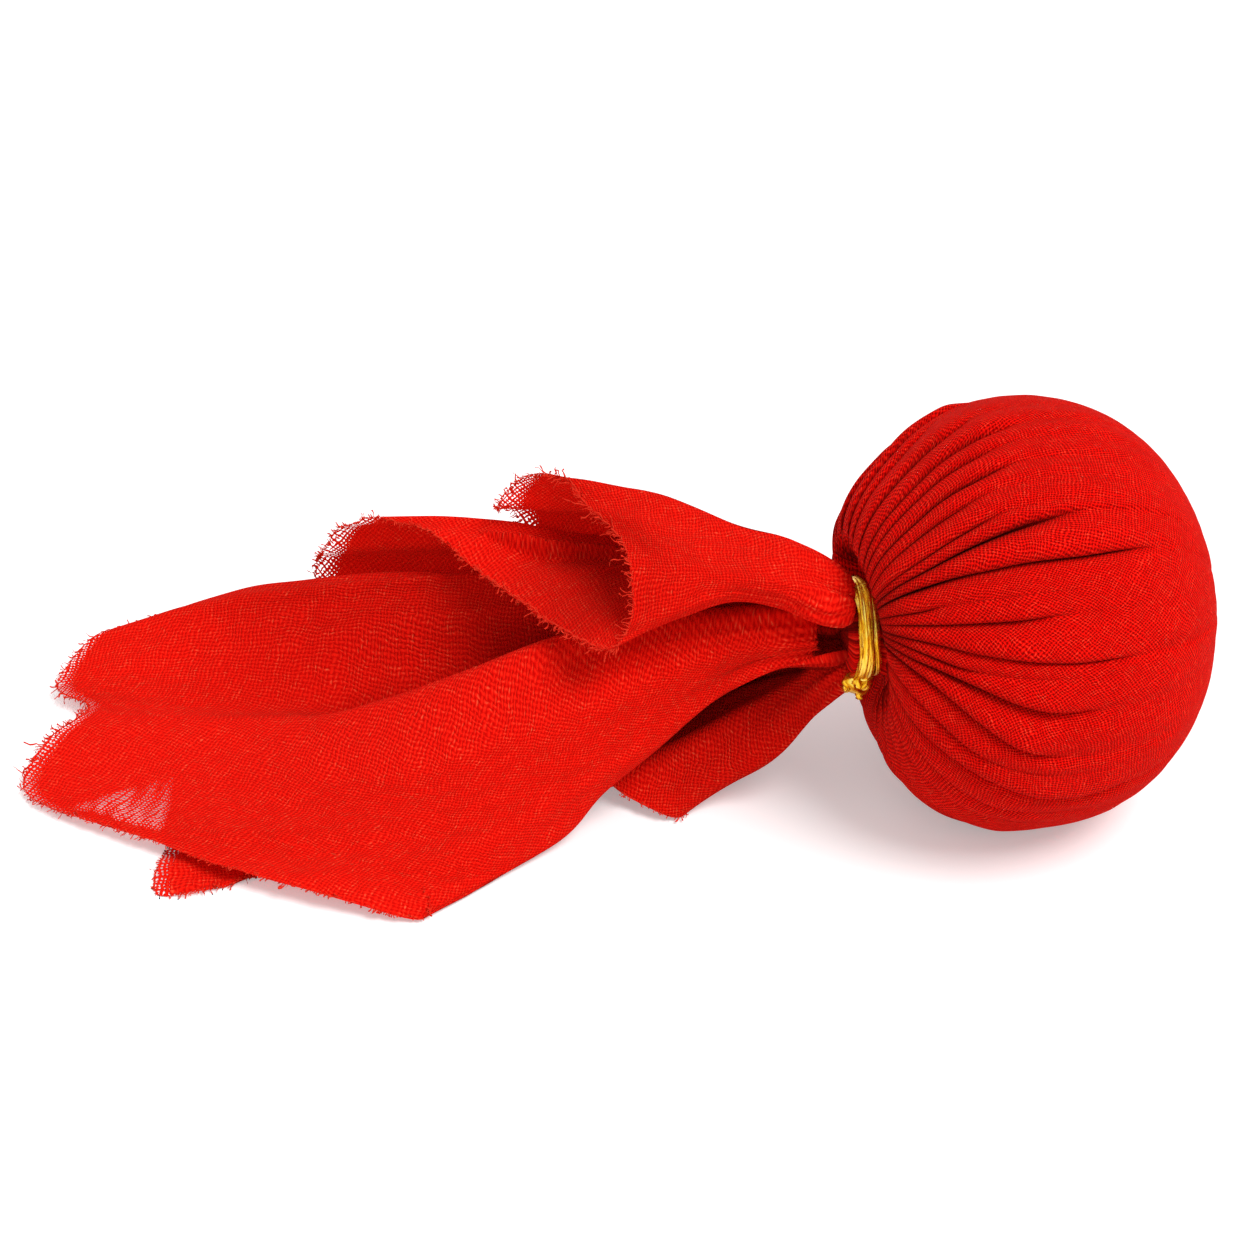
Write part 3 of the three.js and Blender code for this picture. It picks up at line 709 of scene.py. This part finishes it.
def fanOfThreads(surface, place):
    # cloth coordinates that open like a fan from the neck, the angle in it and the gaps between columns
    far = int(tail["fanRow"] * tail["rows"])
    ran = np.cumsum(np.linalg.norm(np.diff(surface, axis=0, prepend=surface[:1]), axis=-1), axis=0)
    gap = np.linalg.norm(np.roll(surface[far], -1, axis=0) - surface[far], axis=1)
    longer = np.roll(ran[far], -1) - ran[far]
    sideways = np.sqrt(np.maximum(gap ** 2 - longer ** 2, tail["fanLeast"] * gap ** 2))
    fan = np.concatenate([[0], np.cumsum(sideways / (ran[far] + tail["fanStart"]))[:-1]])
    fan = fan - np.interp(tail["turnLine"], place, fan) + np.radians(tail["clothTurn"])
    near, outer = tail["threadShares"]
    start, end = tail["threadChange"]
    share = np.clip((ran - start) / (end - start), 0, 1)
    lost = (near - outer) * ((end - start) * (share ** 3 - share ** 4 / 2) + np.maximum(ran - end, 0))
    radial = near * (ran + tail["fanStart"]) - lost
    return np.stack([radial * np.sin(fan), radial * np.cos(fan)], -1), fan, gap


def pleatWaves(turn, place, reach):
    # pleats that run out of the neck, from -1 to 1
    wave = tail["pleats"] * turn + waves(tail["pleatWander"], turn, 1)
    strength = atLines(tail["pleatShares"], 1, place)
    return strength * np.cos(wave) * np.exp(-reach / tail["pleatFade"]) * smooth(reach, 0, tail["pleatStart"])


def softCreases(fan, uv, reach):
    # long creases that follow the fan, and crumples all over
    stretch, lengthways, size, height = tail["creases"]
    creases = cloudNoise(fan[None] * stretch + 0 * reach, reach * lengthways, size, tail["seed"])
    crumpleSize, crumpleHeight = tail["crumple"]
    crumple = crumpleHeight * cloudNoise(uv[..., 0], uv[..., 1], crumpleSize, tail["seed"] + 1)
    return creases * smooth(reach, *tail["creaseStart"]) * height + crumple


def ruffleWaves(turn, gap, place, reach):
    # spare cloth of the sides that lie behind and below falls in ruffles
    across = np.concatenate([[0], np.cumsum(gap)])
    wave = 2 * np.pi * across[:-1] / across[-1] * round(across[-1] / tail["ruffleWidth"])
    size, times = tail["ruffleWander"]
    wave = wave + size * np.sin(times * turn)
    return atLines(tail["ruffles"], 0, place) * np.cos(wave) * smooth(reach, *tail["ruffleStart"])


def looseness(surface, place, toEdge):
    # how loose the weave is: near the cut edge, and in streaks in the worn patch
    strength, depth = (atLines({line: pair[k] for line, pair in tail["looseEdges"].items()},
                               tail["looseRest"][k], place)[None] for k in (0, 1))
    loose = strength * np.clip(1 - toEdge / depth, 0, 1) ** tail["looseCurve"]
    low, high = tail["wornLines"]
    behind, aside = neckX - surface[..., 0], surface[..., 1]
    patch = insideCorners(np.stack([behind, aside], -1), tail["wornPatch"], tail["wornEdge"])
    worn = tail["wornLevel"] * patch * ((place > low) & (place < high))
    backwards, sideways, lengthways = tail["wornStretch"]
    size, level, change = tail["wornStreaks"]
    streaks = cloudNoise(behind * backwards + aside * sideways, aside * lengthways, size, tail["seed"] + 2)
    return np.maximum(loose, worn * np.clip(level + change * streaks, 0, 1))


def shadeOfOthers(place, reach, spread):
    # how dark the cloth looks that lies deep between others
    shade = 0
    one, two, three, four = tail["shadeFades"]
    for low, high, near, fade, level in tail["shades"]:
        span = hump(place, low + one, low + two, high + three, high + four)
        shade = np.maximum(shade, level * span * hump(reach, near - tail["shadeRise"], near, *fade))
    beside = np.maximum(tail["valleyLine"] - place, 0) * spread
    valley = tail["valleyShade"] * np.exp(-beside / tail["valleyWidth"])
    valley = valley * (place < tail["valleyLine"] + tail["valleyEdge"]) * hump(reach, *tail["valleyWays"])
    return np.maximum(shade, valley)


def makeTail():
    surface, place, reach, length = tailGrid()
    uv, fan, gap = fanOfThreads(surface, place)
    count = len(tail["foldLines"])
    turn = place[None] * 2 * np.pi / count
    # spread is the mm from one fold line to the next
    spread = np.linalg.norm(np.roll(surface, -1, axis=1) - surface, axis=-1)
    spread = spread / (np.append(place[1:], count) - place)[None]
    normal = gridNormals(surface)
    pleats = pleatWaves(turn, place, reach)
    lift = tail["pleatDepth"] * pleats + softCreases(fan, uv, reach) + ruffleWaves(turn, gap, place, reach)
    lift = lift + sum(foldShape(place, reach, spread, *fold) for fold in tail["folds"])
    # the rounded end of the front wing's fold, with a recess between it and the tie
    low, high, start, height, lean = tail["foldEnd"]
    comes, goes = tail["foldEndFades"]
    span = hump(place, low, low + comes, high - goes, high)
    past = reach - start
    roll = span * hump(past, *tail["rollWays"])
    risen = smooth(past, *tail["recessWays"])
    full, fade, gone = tail["puffWays"]
    puff = atLines(tail["puffs"], tail["usualPuff"], place) * hump(reach, 0, full, fade, gone)
    lift = lift + puff * (1 - span * risen) + height * roll
    surface = surface + normal * lift[..., None]
    start, full, end = tail["againstWays"]
    against = atLines(tail["againstTie"], 0, place) * hump(reach, start, full, full, end)
    surface[..., 0] += lean * span * hump(past, *tail["lapWays"]) + against
    surface[..., 2] = np.maximum(surface[..., 2], tail["lowest"])
    shade = np.maximum(shadeOfOthers(place, reach, spread), tail["recessShade"] * span * (1 - risen))
    level, low, high = tail["pleatShade"]
    shade = np.maximum(shade, level * smooth(-pleats, low, high))
    loose = looseness(surface, place, length[None] - reach)
    faces = gridFaces(*surface.shape[:2]).tolist()
    values = {"loose": loose.ravel(), "shade": shade.ravel()}
    piece = meshPiece("tail_cloth", surface.reshape(-1, 3), faces, tailGauze, uv.reshape(-1, 2), values)
    return piece, surface, place


tailCloth, tailPoints, tailPlaces = makeTail()
print("tail made")


# frayed threads along the cut edge

fringe = {
    "spacing": 0.36,  # mm along the edge
    "thickness": 0.24,
    "curl": 3.6,
    "lean": 1.15,  # radians
    "seed": 5,
    # length in mm at each fold line
    "lengths": {0: 2.6, 1: 2.8, 2: 2.9, 3: 2.9, 4: 2.7, 5: 2.4, 6: 1.9, 7: 1.5, 8: 1.2, 9: 1.3, 10: 1.7,
                11: 1.3, 12: 1.1, 13: 1.2, 14: 1.6, 15: 1.7, 16: 1.6, 17: 1.8, 18: 2.0, 19: 1.5, 20: 0.8,
                21: 0.6, 22: 0.6, 23: 0.7, 24: 1.6, 25: 1.3, 26: 1.0, 37: 1.5, 38: 1.8, 39: 1.8},
    "otherLength": 1.0,
    "strays": 0.02,  # share of the threads that have come out further
    "strayLength": 1.9,
    "lengthShares": [0.35, 1.25],  # shortest and longest, against the length above
    "rootDepth": 0.5,  # mm inside the cut edge
    "wayRows": 3,  # rows over which the way out of the cloth is taken
    "points": 7,
    "sides": 4,
    "curlWaves": 0.55,  # to a mm
    "lowest": 0.1,  # mm above the floor
    "grain": 0.9,  # changes of tone to a mm
    "paleTone": (1.0, 0.09, 0.04, 1),
    "glow": 0.3,  # light that comes through a thread
}


def threadRoots():
    # points along the cut edge, each with the way out of the cloth and a length
    edge, before = tailPoints[-1], tailPoints[-1 - fringe["wayRows"]]
    length = np.append(0, np.cumsum(np.linalg.norm(np.roll(edge, -1, axis=0) - edge, axis=1)))
    spots = np.arange(0, length[-1] - fringe["spacing"] / 2, fringe["spacing"])

    def atSpots(values):
        return np.stack([np.interp(spots, length, np.append(part, part[0])) for part in values.T], -1)
    out = edge - before
    out = out / np.linalg.norm(out, axis=1)[:, None]
    long = np.full(len(spots), 1.0)
    rng = np.random.default_rng(fringe["seed"])
    long[rng.random(len(spots)) < fringe["strays"]] = fringe["strayLength"]
    size = atLines(fringe["lengths"], fringe["otherLength"], tailPlaces)
    return atSpots(edge - fringe["rootDepth"] * out), atSpots(out), atSpots(size[:, None])[:, 0] * long


def threadTree():
    tree = bpy.data.node_groups.new("frayed threads", "GeometryNodeTree")
    sockets = {"Geometry": "Geometry", "Thickness": "Float", "Curl": "Float", "Lean": "Float", "Seed": "Int",
               "Material": "Material"}
    for label, kind in sockets.items():
        tree.interface.new_socket(label, in_out="INPUT", socket_type="NodeSocket" + kind)
    tree.interface.new_socket("Geometry", in_out="OUTPUT", socket_type="NodeSocketGeometry")
    given = addNode(tree, "NodeGroupInput").outputs

    def step(kind, inputs, **settings):
        return addNode(tree, "GeometryNode" + kind, inputs, **settings).outputs[0]

    def stored(name, kind):
        return step("InputNamedAttribute", {"Name": name}, data_type=kind)
    # one thread, upright and 1 long, that remembers how far along it each point is
    line = step("ResampleCurve", {"Curve": step("CurvePrimitiveLine", {"End": (0, 0, 1)}),
                                  "Count": fringe["points"]})
    share = addNode(tree, "GeometryNodeSplineParameter").outputs["Factor"]
    line = step("StoreNamedAttribute", {"Geometry": line, "Name": "tip", "Value": share},
                data_type="FLOAT", domain="POINT")
    ring = step("CurvePrimitiveCircle", {"Resolution": fringe["sides"], "Radius": 0.5})
    thread = step("CurveToMesh", {"Curve": line, "Profile Curve": ring, "Fill Caps": True})
    # a copy on each root, pointing out of the cloth and leaning a little
    turn = addNode(tree, "FunctionNodeAlignRotationToVector", {"Vector": stored("out", "FLOAT_VECTOR")},
                   axis="Z").outputs[0]
    chance = addNode(tree, "FunctionNodeRandomValue", {0: (-1, -1, -1), 1: (1, 1, 1), "Seed": given["Seed"]},
                     data_type="FLOAT_VECTOR").outputs[0]
    lean = vectorMaths(tree, "SCALE", {0: chance, "Scale": given["Lean"]})
    turn = addNode(tree, "FunctionNodeRotateRotation", {"Rotation": turn, "Rotate By": lean},
                   rotation_space="LOCAL").outputs[0]
    shortest, longest = fringe["lengthShares"]
    long = addNode(tree, "FunctionNodeRandomValue", {2: shortest, 3: longest, "Seed": given["Seed"]},
                   data_type="FLOAT").outputs[1]
    long = maths(tree, "MULTIPLY", long, stored("size", "FLOAT"))
    scale = addNode(tree, "ShaderNodeCombineXYZ", {0: given["Thickness"], 1: given["Thickness"], 2: long})
    threads = step("InstanceOnPoints", {"Points": given["Geometry"], "Instance": thread, "Rotation": turn,
                                        "Scale": scale.outputs[0]})
    threads = step("RealizeInstances", {"Geometry": threads})
    # the free end curls, and none goes through the floor
    noise = addNode(tree, "ShaderNodeTexNoise", {"Scale": fringe["curlWaves"] / mm, "Detail": 1.0})
    curl = maths(tree, "MULTIPLY", stored("tip", "FLOAT"), given["Curl"])
    bend = centred(tree, noise.outputs["Color"], curl)
    threads = step("SetPosition", {"Geometry": threads, "Offset": bend})
    spot = addNode(tree, "ShaderNodeSeparateXYZ", {0: step("InputPosition", {})}).outputs
    above = maths(tree, "MAXIMUM", spot[2], fringe["lowest"] * mm)
    spot = addNode(tree, "ShaderNodeCombineXYZ", {0: spot[0], 1: spot[1], 2: above}).outputs[0]
    threads = step("SetPosition", {"Geometry": threads, "Position": spot})
    threads = step("SetMaterial", {"Geometry": threads, "Material": given["Material"]})
    tree.links.new(threads, addNode(tree, "NodeGroupOutput").inputs[0])
    return tree


def threadMaterial():
    material, tree = newMaterial("loose thread")
    place = addNode(tree, "ShaderNodeTexCoord").outputs["Object"]
    grain = addNode(tree, "ShaderNodeTexNoise", {"Vector": place, "Scale": fringe["grain"] / mm,
                                                 "Detail": 2.0})
    tones = gauze["singleTones"]
    skin = addNode(tree, "ShaderNodeBsdfPrincipled", {
        "Base Color": mixed(tree, grain.outputs[0], tones[0], fringe["paleTone"]), "Roughness": 0.9,
        "Specular IOR Level": 0.05})
    glow = addNode(tree, "ShaderNodeBsdfTranslucent", {"Color": tones[1]})
    setSurface(tree, shaderMix(tree, fringe["glow"], skin.outputs[0], glow.outputs[0]))
    return material


def makeFringe():
    points, out, size = threadRoots()
    roots = bpy.data.meshes.new("thread roots")
    roots.from_pydata((points * mm).tolist(), [], [])
    ways = roots.attributes.new("out", "FLOAT_VECTOR", "POINT")
    ways.data.foreach_set("vector", out.astype(np.float32).ravel())
    roots.attributes.new("size", "FLOAT", "POINT").data.foreach_set("value", (size * mm).astype(np.float32))
    holder = bpy.data.objects.new("thread_roots", roots)
    bpy.context.collection.objects.link(holder)
    tree = threadTree()
    modifier = holder.modifiers.new("threads", "NODES")
    modifier.node_group = tree
    material = threadMaterial()
    values = {"Thickness": fringe["thickness"] * mm, "Curl": fringe["curl"] * mm, "Lean": fringe["lean"],
              "Seed": fringe["seed"], "Material": material}
    for item in tree.interface.items_tree:
        if item.in_out == "INPUT" and item.name in values:
            modifier[item.identifier] = values[item.name]
    graph = bpy.context.evaluated_depsgraph_get()
    mesh = bpy.data.meshes.new_from_object(holder.evaluated_get(graph))
    bpy.data.objects.remove(holder)
    threads = bpy.data.objects.new("frayed_threads", mesh)
    bpy.context.collection.objects.link(threads)
    return threads


frayedThreads = makeFringe()
print("frayed threads made:", len(frayedThreads.data.polygons), "faces")


# the tie: turns of twisted gold ribbon with a knot low on the front

gold = {
    "dark": (0.48, 0.15, 0.002, 1),
    "middle": (0.97, 0.52, 0.010, 1),
    "light": (1.0, 0.82, 0.16, 1),
    "metal": 0.85,
    "roughness": 0.24,
    "fibres": (0.14, 0.85, 1),  # changes of tone to a mm along the ribbon and across it
    "stops": [0.38, 0.5, 0.66],  # where in the fibres the three tones lie
    "relief": 0.35,  # mm
}


def goldMaterial():
    material, tree = newMaterial("gold ribbon")
    place = addNode(tree, "ShaderNodeUVMap", uv_map="weave").outputs[0]
    fibres = addNode(tree, "ShaderNodeMapping", {"Vector": place, "Scale": gold["fibres"]}).outputs[0]
    fine = addNode(tree, "ShaderNodeTexNoise", {"Vector": fibres, "Scale": 1.0, "Detail": 4.0,
                                                "Roughness": 0.65}).outputs[0]
    ramp = addNode(tree, "ShaderNodeValToRGB", {0: fine})
    stops = ramp.color_ramp.elements
    stops.new(gold["stops"][1])
    for stop, spot, tone in zip(stops, gold["stops"], ("dark", "middle", "light")):
        stop.position, stop.color = spot, gold[tone]
    bump = addNode(tree, "ShaderNodeBump", {"Height": fine, "Strength": 0.9, "Distance": gold["relief"] * mm})
    skin = addNode(tree, "ShaderNodeBsdfPrincipled", {
        "Base Color": ramp.outputs[0], "Metallic": gold["metal"], "Roughness": gold["roughness"],
        "Normal": bump.outputs[0]})
    setSurface(tree, skin.outputs[0])
    return material


goldRibbon = goldMaterial()

tie = {
    # each turn: place along the neck, lift from the cloth, half width, half thickness, phase
    "turns": [[-1.8, 0.6, 0.8, 0.55, 0.3], [-0.6, 1.05, 0.9, 0.6, 2.1], [0.6, 0.75, 0.9, 0.6, 4.0],
              [1.75, 0.7, 0.8, 0.55, 5.2], [0.1, 1.5, 0.75, 0.45, 1.0]],
    "segments": 200,
    "loopSegments": 60,
    "endSegments": 26,
    "section": 22,
    "knotAngle": 146,
    "knotAside": -1.4,  # mm along the neck
    # loops of the knot: tilt, size and phase, then half width and half thickness of the strand
    "loops": [[0.35, 1.1, 0.7, 1.6, 1.3], [-0.5, 1.0, 2.9, 1.5, 1.25], [1.2, 0.8, 4.4, 1.6, 1.4]],
    "loopSize": [1.9, 1.2],  # mm
    "knotLift": 2.0,
    # stubs: way along the neck, outwards and round it, then phase
    "ends": [[-1, 0.35, -0.1, 1.1], [0.1, 0.9, 0.25, 3.7]],
    "endLength": 2.5,
    "endTuck": 1.2,  # mm more that lie inside the knot
    "endBow": 0.3,
    "endRoll": 0.3,
    "endWidth": 1.5,
    "endThickness": 0.85,
    "twists": [0.5, 0.4, 0.5],  # radians, of the turns, the loops and the ends
    # waves, each with its height, its number and how far the phase moves it: of a turn outwards and along the
    # neck in mm, of a strand's twist, and of its width as shares
    "rise": [[0.12, 2, 1], [0.08, 5, 2]],
    "sway": [[0.5, 1, 1], [0.25, 3, 1.4]],
    "lean": [[1, 1, 1], [0.5, 2, 2.3]],
    "swells": [[0.12, 3, 1], [0.07, 7, 1.7]],
    "ridges": [[0.10, 5, 3], [0.05, 9, -2]],  # share of the width, number round the ribbon and sway
    "flattened": 0.35,  # how much of a twist lifts the ribbon's sides
    "roundPitch": 1.1,  # mm of fibres to a radian round the ribbon
}


def strandPoints(path, sideways, outwards, width, thickness, twist, seed, closed):
    # a ribbon section swept on a path, pinched into a few ridges
    around = np.linspace(0, 2 * np.pi, tie["section"], endpoint=False)
    spot = np.linspace(0, 2 * np.pi, len(path), endpoint=not closed)
    lean = twist * waves(tie["lean"], spot, seed)
    swell = 1 + waves(tie["swells"], spot, seed)
    ridge = 1
    for (height, times, sway), bend in zip(tie["ridges"], (np.sin(spot + seed), np.cos(2 * spot + seed))):
        ridge = ridge + height * np.cos(times * around[None] + sway * bend[:, None])
    flat = np.cos(around)[None] * (width * swell)[:, None] * ridge
    tall = np.sin(around)[None] * (thickness / swell)[:, None] * ridge
    side = flat * np.cos(lean)[:, None] - tall * np.sin(lean)[:, None]
    up = flat * np.sin(lean)[:, None] * tie["flattened"] + tall * np.cos(lean)[:, None]
    points = path[:, None] + sideways * side[..., None] + outwards[:, None] * up[..., None]
    length = np.concatenate([[0], np.cumsum(np.linalg.norm(np.diff(path, axis=0), axis=1))])
    uv = np.stack(np.broadcast_arrays(length[:, None] + 40 * seed, around[None] * tie["roundPitch"]), -1)
    return points, uv


def makeTie():
    allPoints, allUvs, faces = [], [], []

    def addStrand(*strand, closed=True):
        points, uv = strandPoints(*strand, closed)
        rows, columns = points.shape[:2]
        start = sum(len(part) for part in allPoints)
        allPoints.append(points.reshape(-1, 3))
        allUvs.append(uv.reshape(-1, 2))
        # the other way round than gridFaces has them
        faces.extend((gridFaces(rows, columns, closed)[:, [0, 3, 2, 1]] + start).tolist())
        if not closed:
            faces.append([start + k for k in range(columns)])
            faces.append([start + (rows - 1) * columns + k for k in reversed(range(columns))])

    turnTwist, loopTwist, endTwist = tie["twists"]
    spot = np.linspace(0, 2 * np.pi, tie["segments"], endpoint=False)
    outwards = np.stack([0 * spot, -np.sin(spot), np.cos(spot)], -1)
    for place, lift, width, thickness, phase in tie["turns"]:
        radius = neckRadius + lift + waves(tie["rise"], spot, phase)
        path = outwards * radius[:, None] + [0, 0, neckHeight]
        path[:, 0] = neckX + place + waves(tie["sway"], spot, phase)
        addStrand(path, np.array([1, 0, 0]), outwards, width, thickness, turnTwist, phase)

    # knot: short strands wrapped over each other and the turns, and two stubby ends
    angle = np.radians(tie["knotAngle"])
    outwards = np.array([0, -np.sin(angle), np.cos(angle)])
    middle = outwards * (neckRadius + tie["knotLift"]) + [neckX + tie["knotAside"], 0, neckHeight]
    sweep = np.array([0, -np.cos(angle), -np.sin(angle)])
    spot = np.linspace(0, 2 * np.pi, tie["loopSegments"], endpoint=False)
    for tilt, size, phase, width, thickness in tie["loops"]:
        axis = np.array([np.cos(tilt), 0, 0]) + sweep * np.sin(tilt)
        wide, high = (part * size for part in tie["loopSize"])
        path = middle + np.outer(np.cos(spot), axis) * wide + np.outer(np.sin(spot), outwards) * high
        out = path - middle
        out = out / np.linalg.norm(out, axis=1)[:, None]
        addStrand(path, np.cross(axis, outwards), out, width * size, thickness * size, loopTwist, phase)
    share = np.linspace(0, 1, tie["endSegments"])[:, None]
    for beside, away, aside, phase in tie["ends"]:
        way = np.array([beside, 0, 0]) + outwards * away + sweep * aside
        way = way / np.linalg.norm(way)
        bow = outwards * tie["endBow"] * np.sin(3 * share)
        path = middle + way * share * (tie["endLength"] + tie["endTuck"]) + bow
        across = np.cross(way, outwards + tie["endRoll"] * sweep)
        across = across / np.linalg.norm(across)
        out = np.cross(across, way)[None]
        addStrand(path, across, out, tie["endWidth"], tie["endThickness"], endTwist, phase, closed=False)
    return meshPiece("gold_tie", np.vstack(allPoints), faces, goldRibbon, np.vstack(allUvs), {})


goldTie = makeTie()
print("tie made")


# which piece stands for what

for piece, node in ((ballCover, "cloth_bundle"), (tailCloth, "cloth_bundle"), (frayedThreads, "cloth_bundle"),
                    (goldTie, "neck_tie")):
    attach(piece, "root")
    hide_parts(node)


# floor, light and camera

studio = {
    "ambient": 0.60,
    "keyStrength": 2.3,
    "keyAngle": 28,  # degrees across, so its shadows are soft
    "keyFrom": (0.36, -0.40, 0.85),
    "floorColour": (0.86, 0.86, 0.86, 1),
    "floorLift": 0.3,  # keeps the floor white to the camera outside the shadow
}


def makeFloor():
    bpy.ops.mesh.primitive_plane_add(size=6, location=(0, 0, 0))
    floor = bpy.context.active_object
    floor.name = "floor"
    material, tree = newMaterial("pale floor")
    matt = addNode(tree, "ShaderNodeBsdfDiffuse", {"Color": studio["floorColour"]})
    strength = maths(tree, "MULTIPLY", seenDirectly(tree), studio["floorLift"])
    lift = addNode(tree, "ShaderNodeEmission", {"Strength": strength})
    both = addNode(tree, "ShaderNodeAddShader", {0: matt.outputs[0], 1: lift.outputs[0]})
    setSurface(tree, both.outputs[0])
    floor.data.materials.append(material)


def makeWorld():
    world = bpy.data.worlds.new("studio")
    bpy.context.scene.world = world
    world.use_nodes = True
    tree = world.node_tree
    tree.nodes.clear()
    strength = mapped(tree, seenDirectly(tree), 0.0, 1.0, studio["ambient"], 1.0)
    light = addNode(tree, "ShaderNodeBackground", {"Color": (1, 1, 1, 1), "Strength": strength})
    tree.links.new(light.outputs[0], addNode(tree, "ShaderNodeOutputWorld").inputs[0])


def makeLamp():
    data = bpy.data.lights.new("key", "SUN")
    data.energy = studio["keyStrength"]
    data.angle = np.radians(studio["keyAngle"])
    lamp = bpy.data.objects.new("key", data)
    bpy.context.collection.objects.link(lamp)
    lamp.rotation_euler = Vector(studio["keyFrom"]).to_track_quat("Z", "Y").to_euler()


view = {
    "azimuth": -10,
    "elevation": 35,
    "distance": 760,
    "lookAt": (-87.014, 13.293, 42.617),
    "frameWidth": 275.88,  # mm seen at that distance
}


def makeCamera():
    turn, tilt = np.radians(view["azimuth"]), np.radians(view["elevation"])
    forward = Vector((-np.sin(turn) * np.cos(tilt), np.cos(turn) * np.cos(tilt), -np.sin(tilt)))
    right = Vector((np.cos(turn), np.sin(turn), 0))
    up = right.cross(forward)
    data = bpy.data.cameras.new("camera")
    data.sensor_width = 36
    data.lens = 36 * view["distance"] / view["frameWidth"]
    data.clip_start, data.clip_end = 0.01, 20
    camera = bpy.data.objects.new("camera", data)
    bpy.context.collection.objects.link(camera)
    place = (Vector(view["lookAt"]) - forward * view["distance"]) * mm
    axes = Matrix((right, up, -forward)).transposed().to_4x4()
    camera.matrix_world = Matrix.Translation(place) @ axes
    bpy.context.scene.camera = camera


makeFloor()
makeWorld()
makeLamp()
makeCamera()
bpy.context.scene.view_settings.view_transform = "Standard"
print("floor, light and camera made")
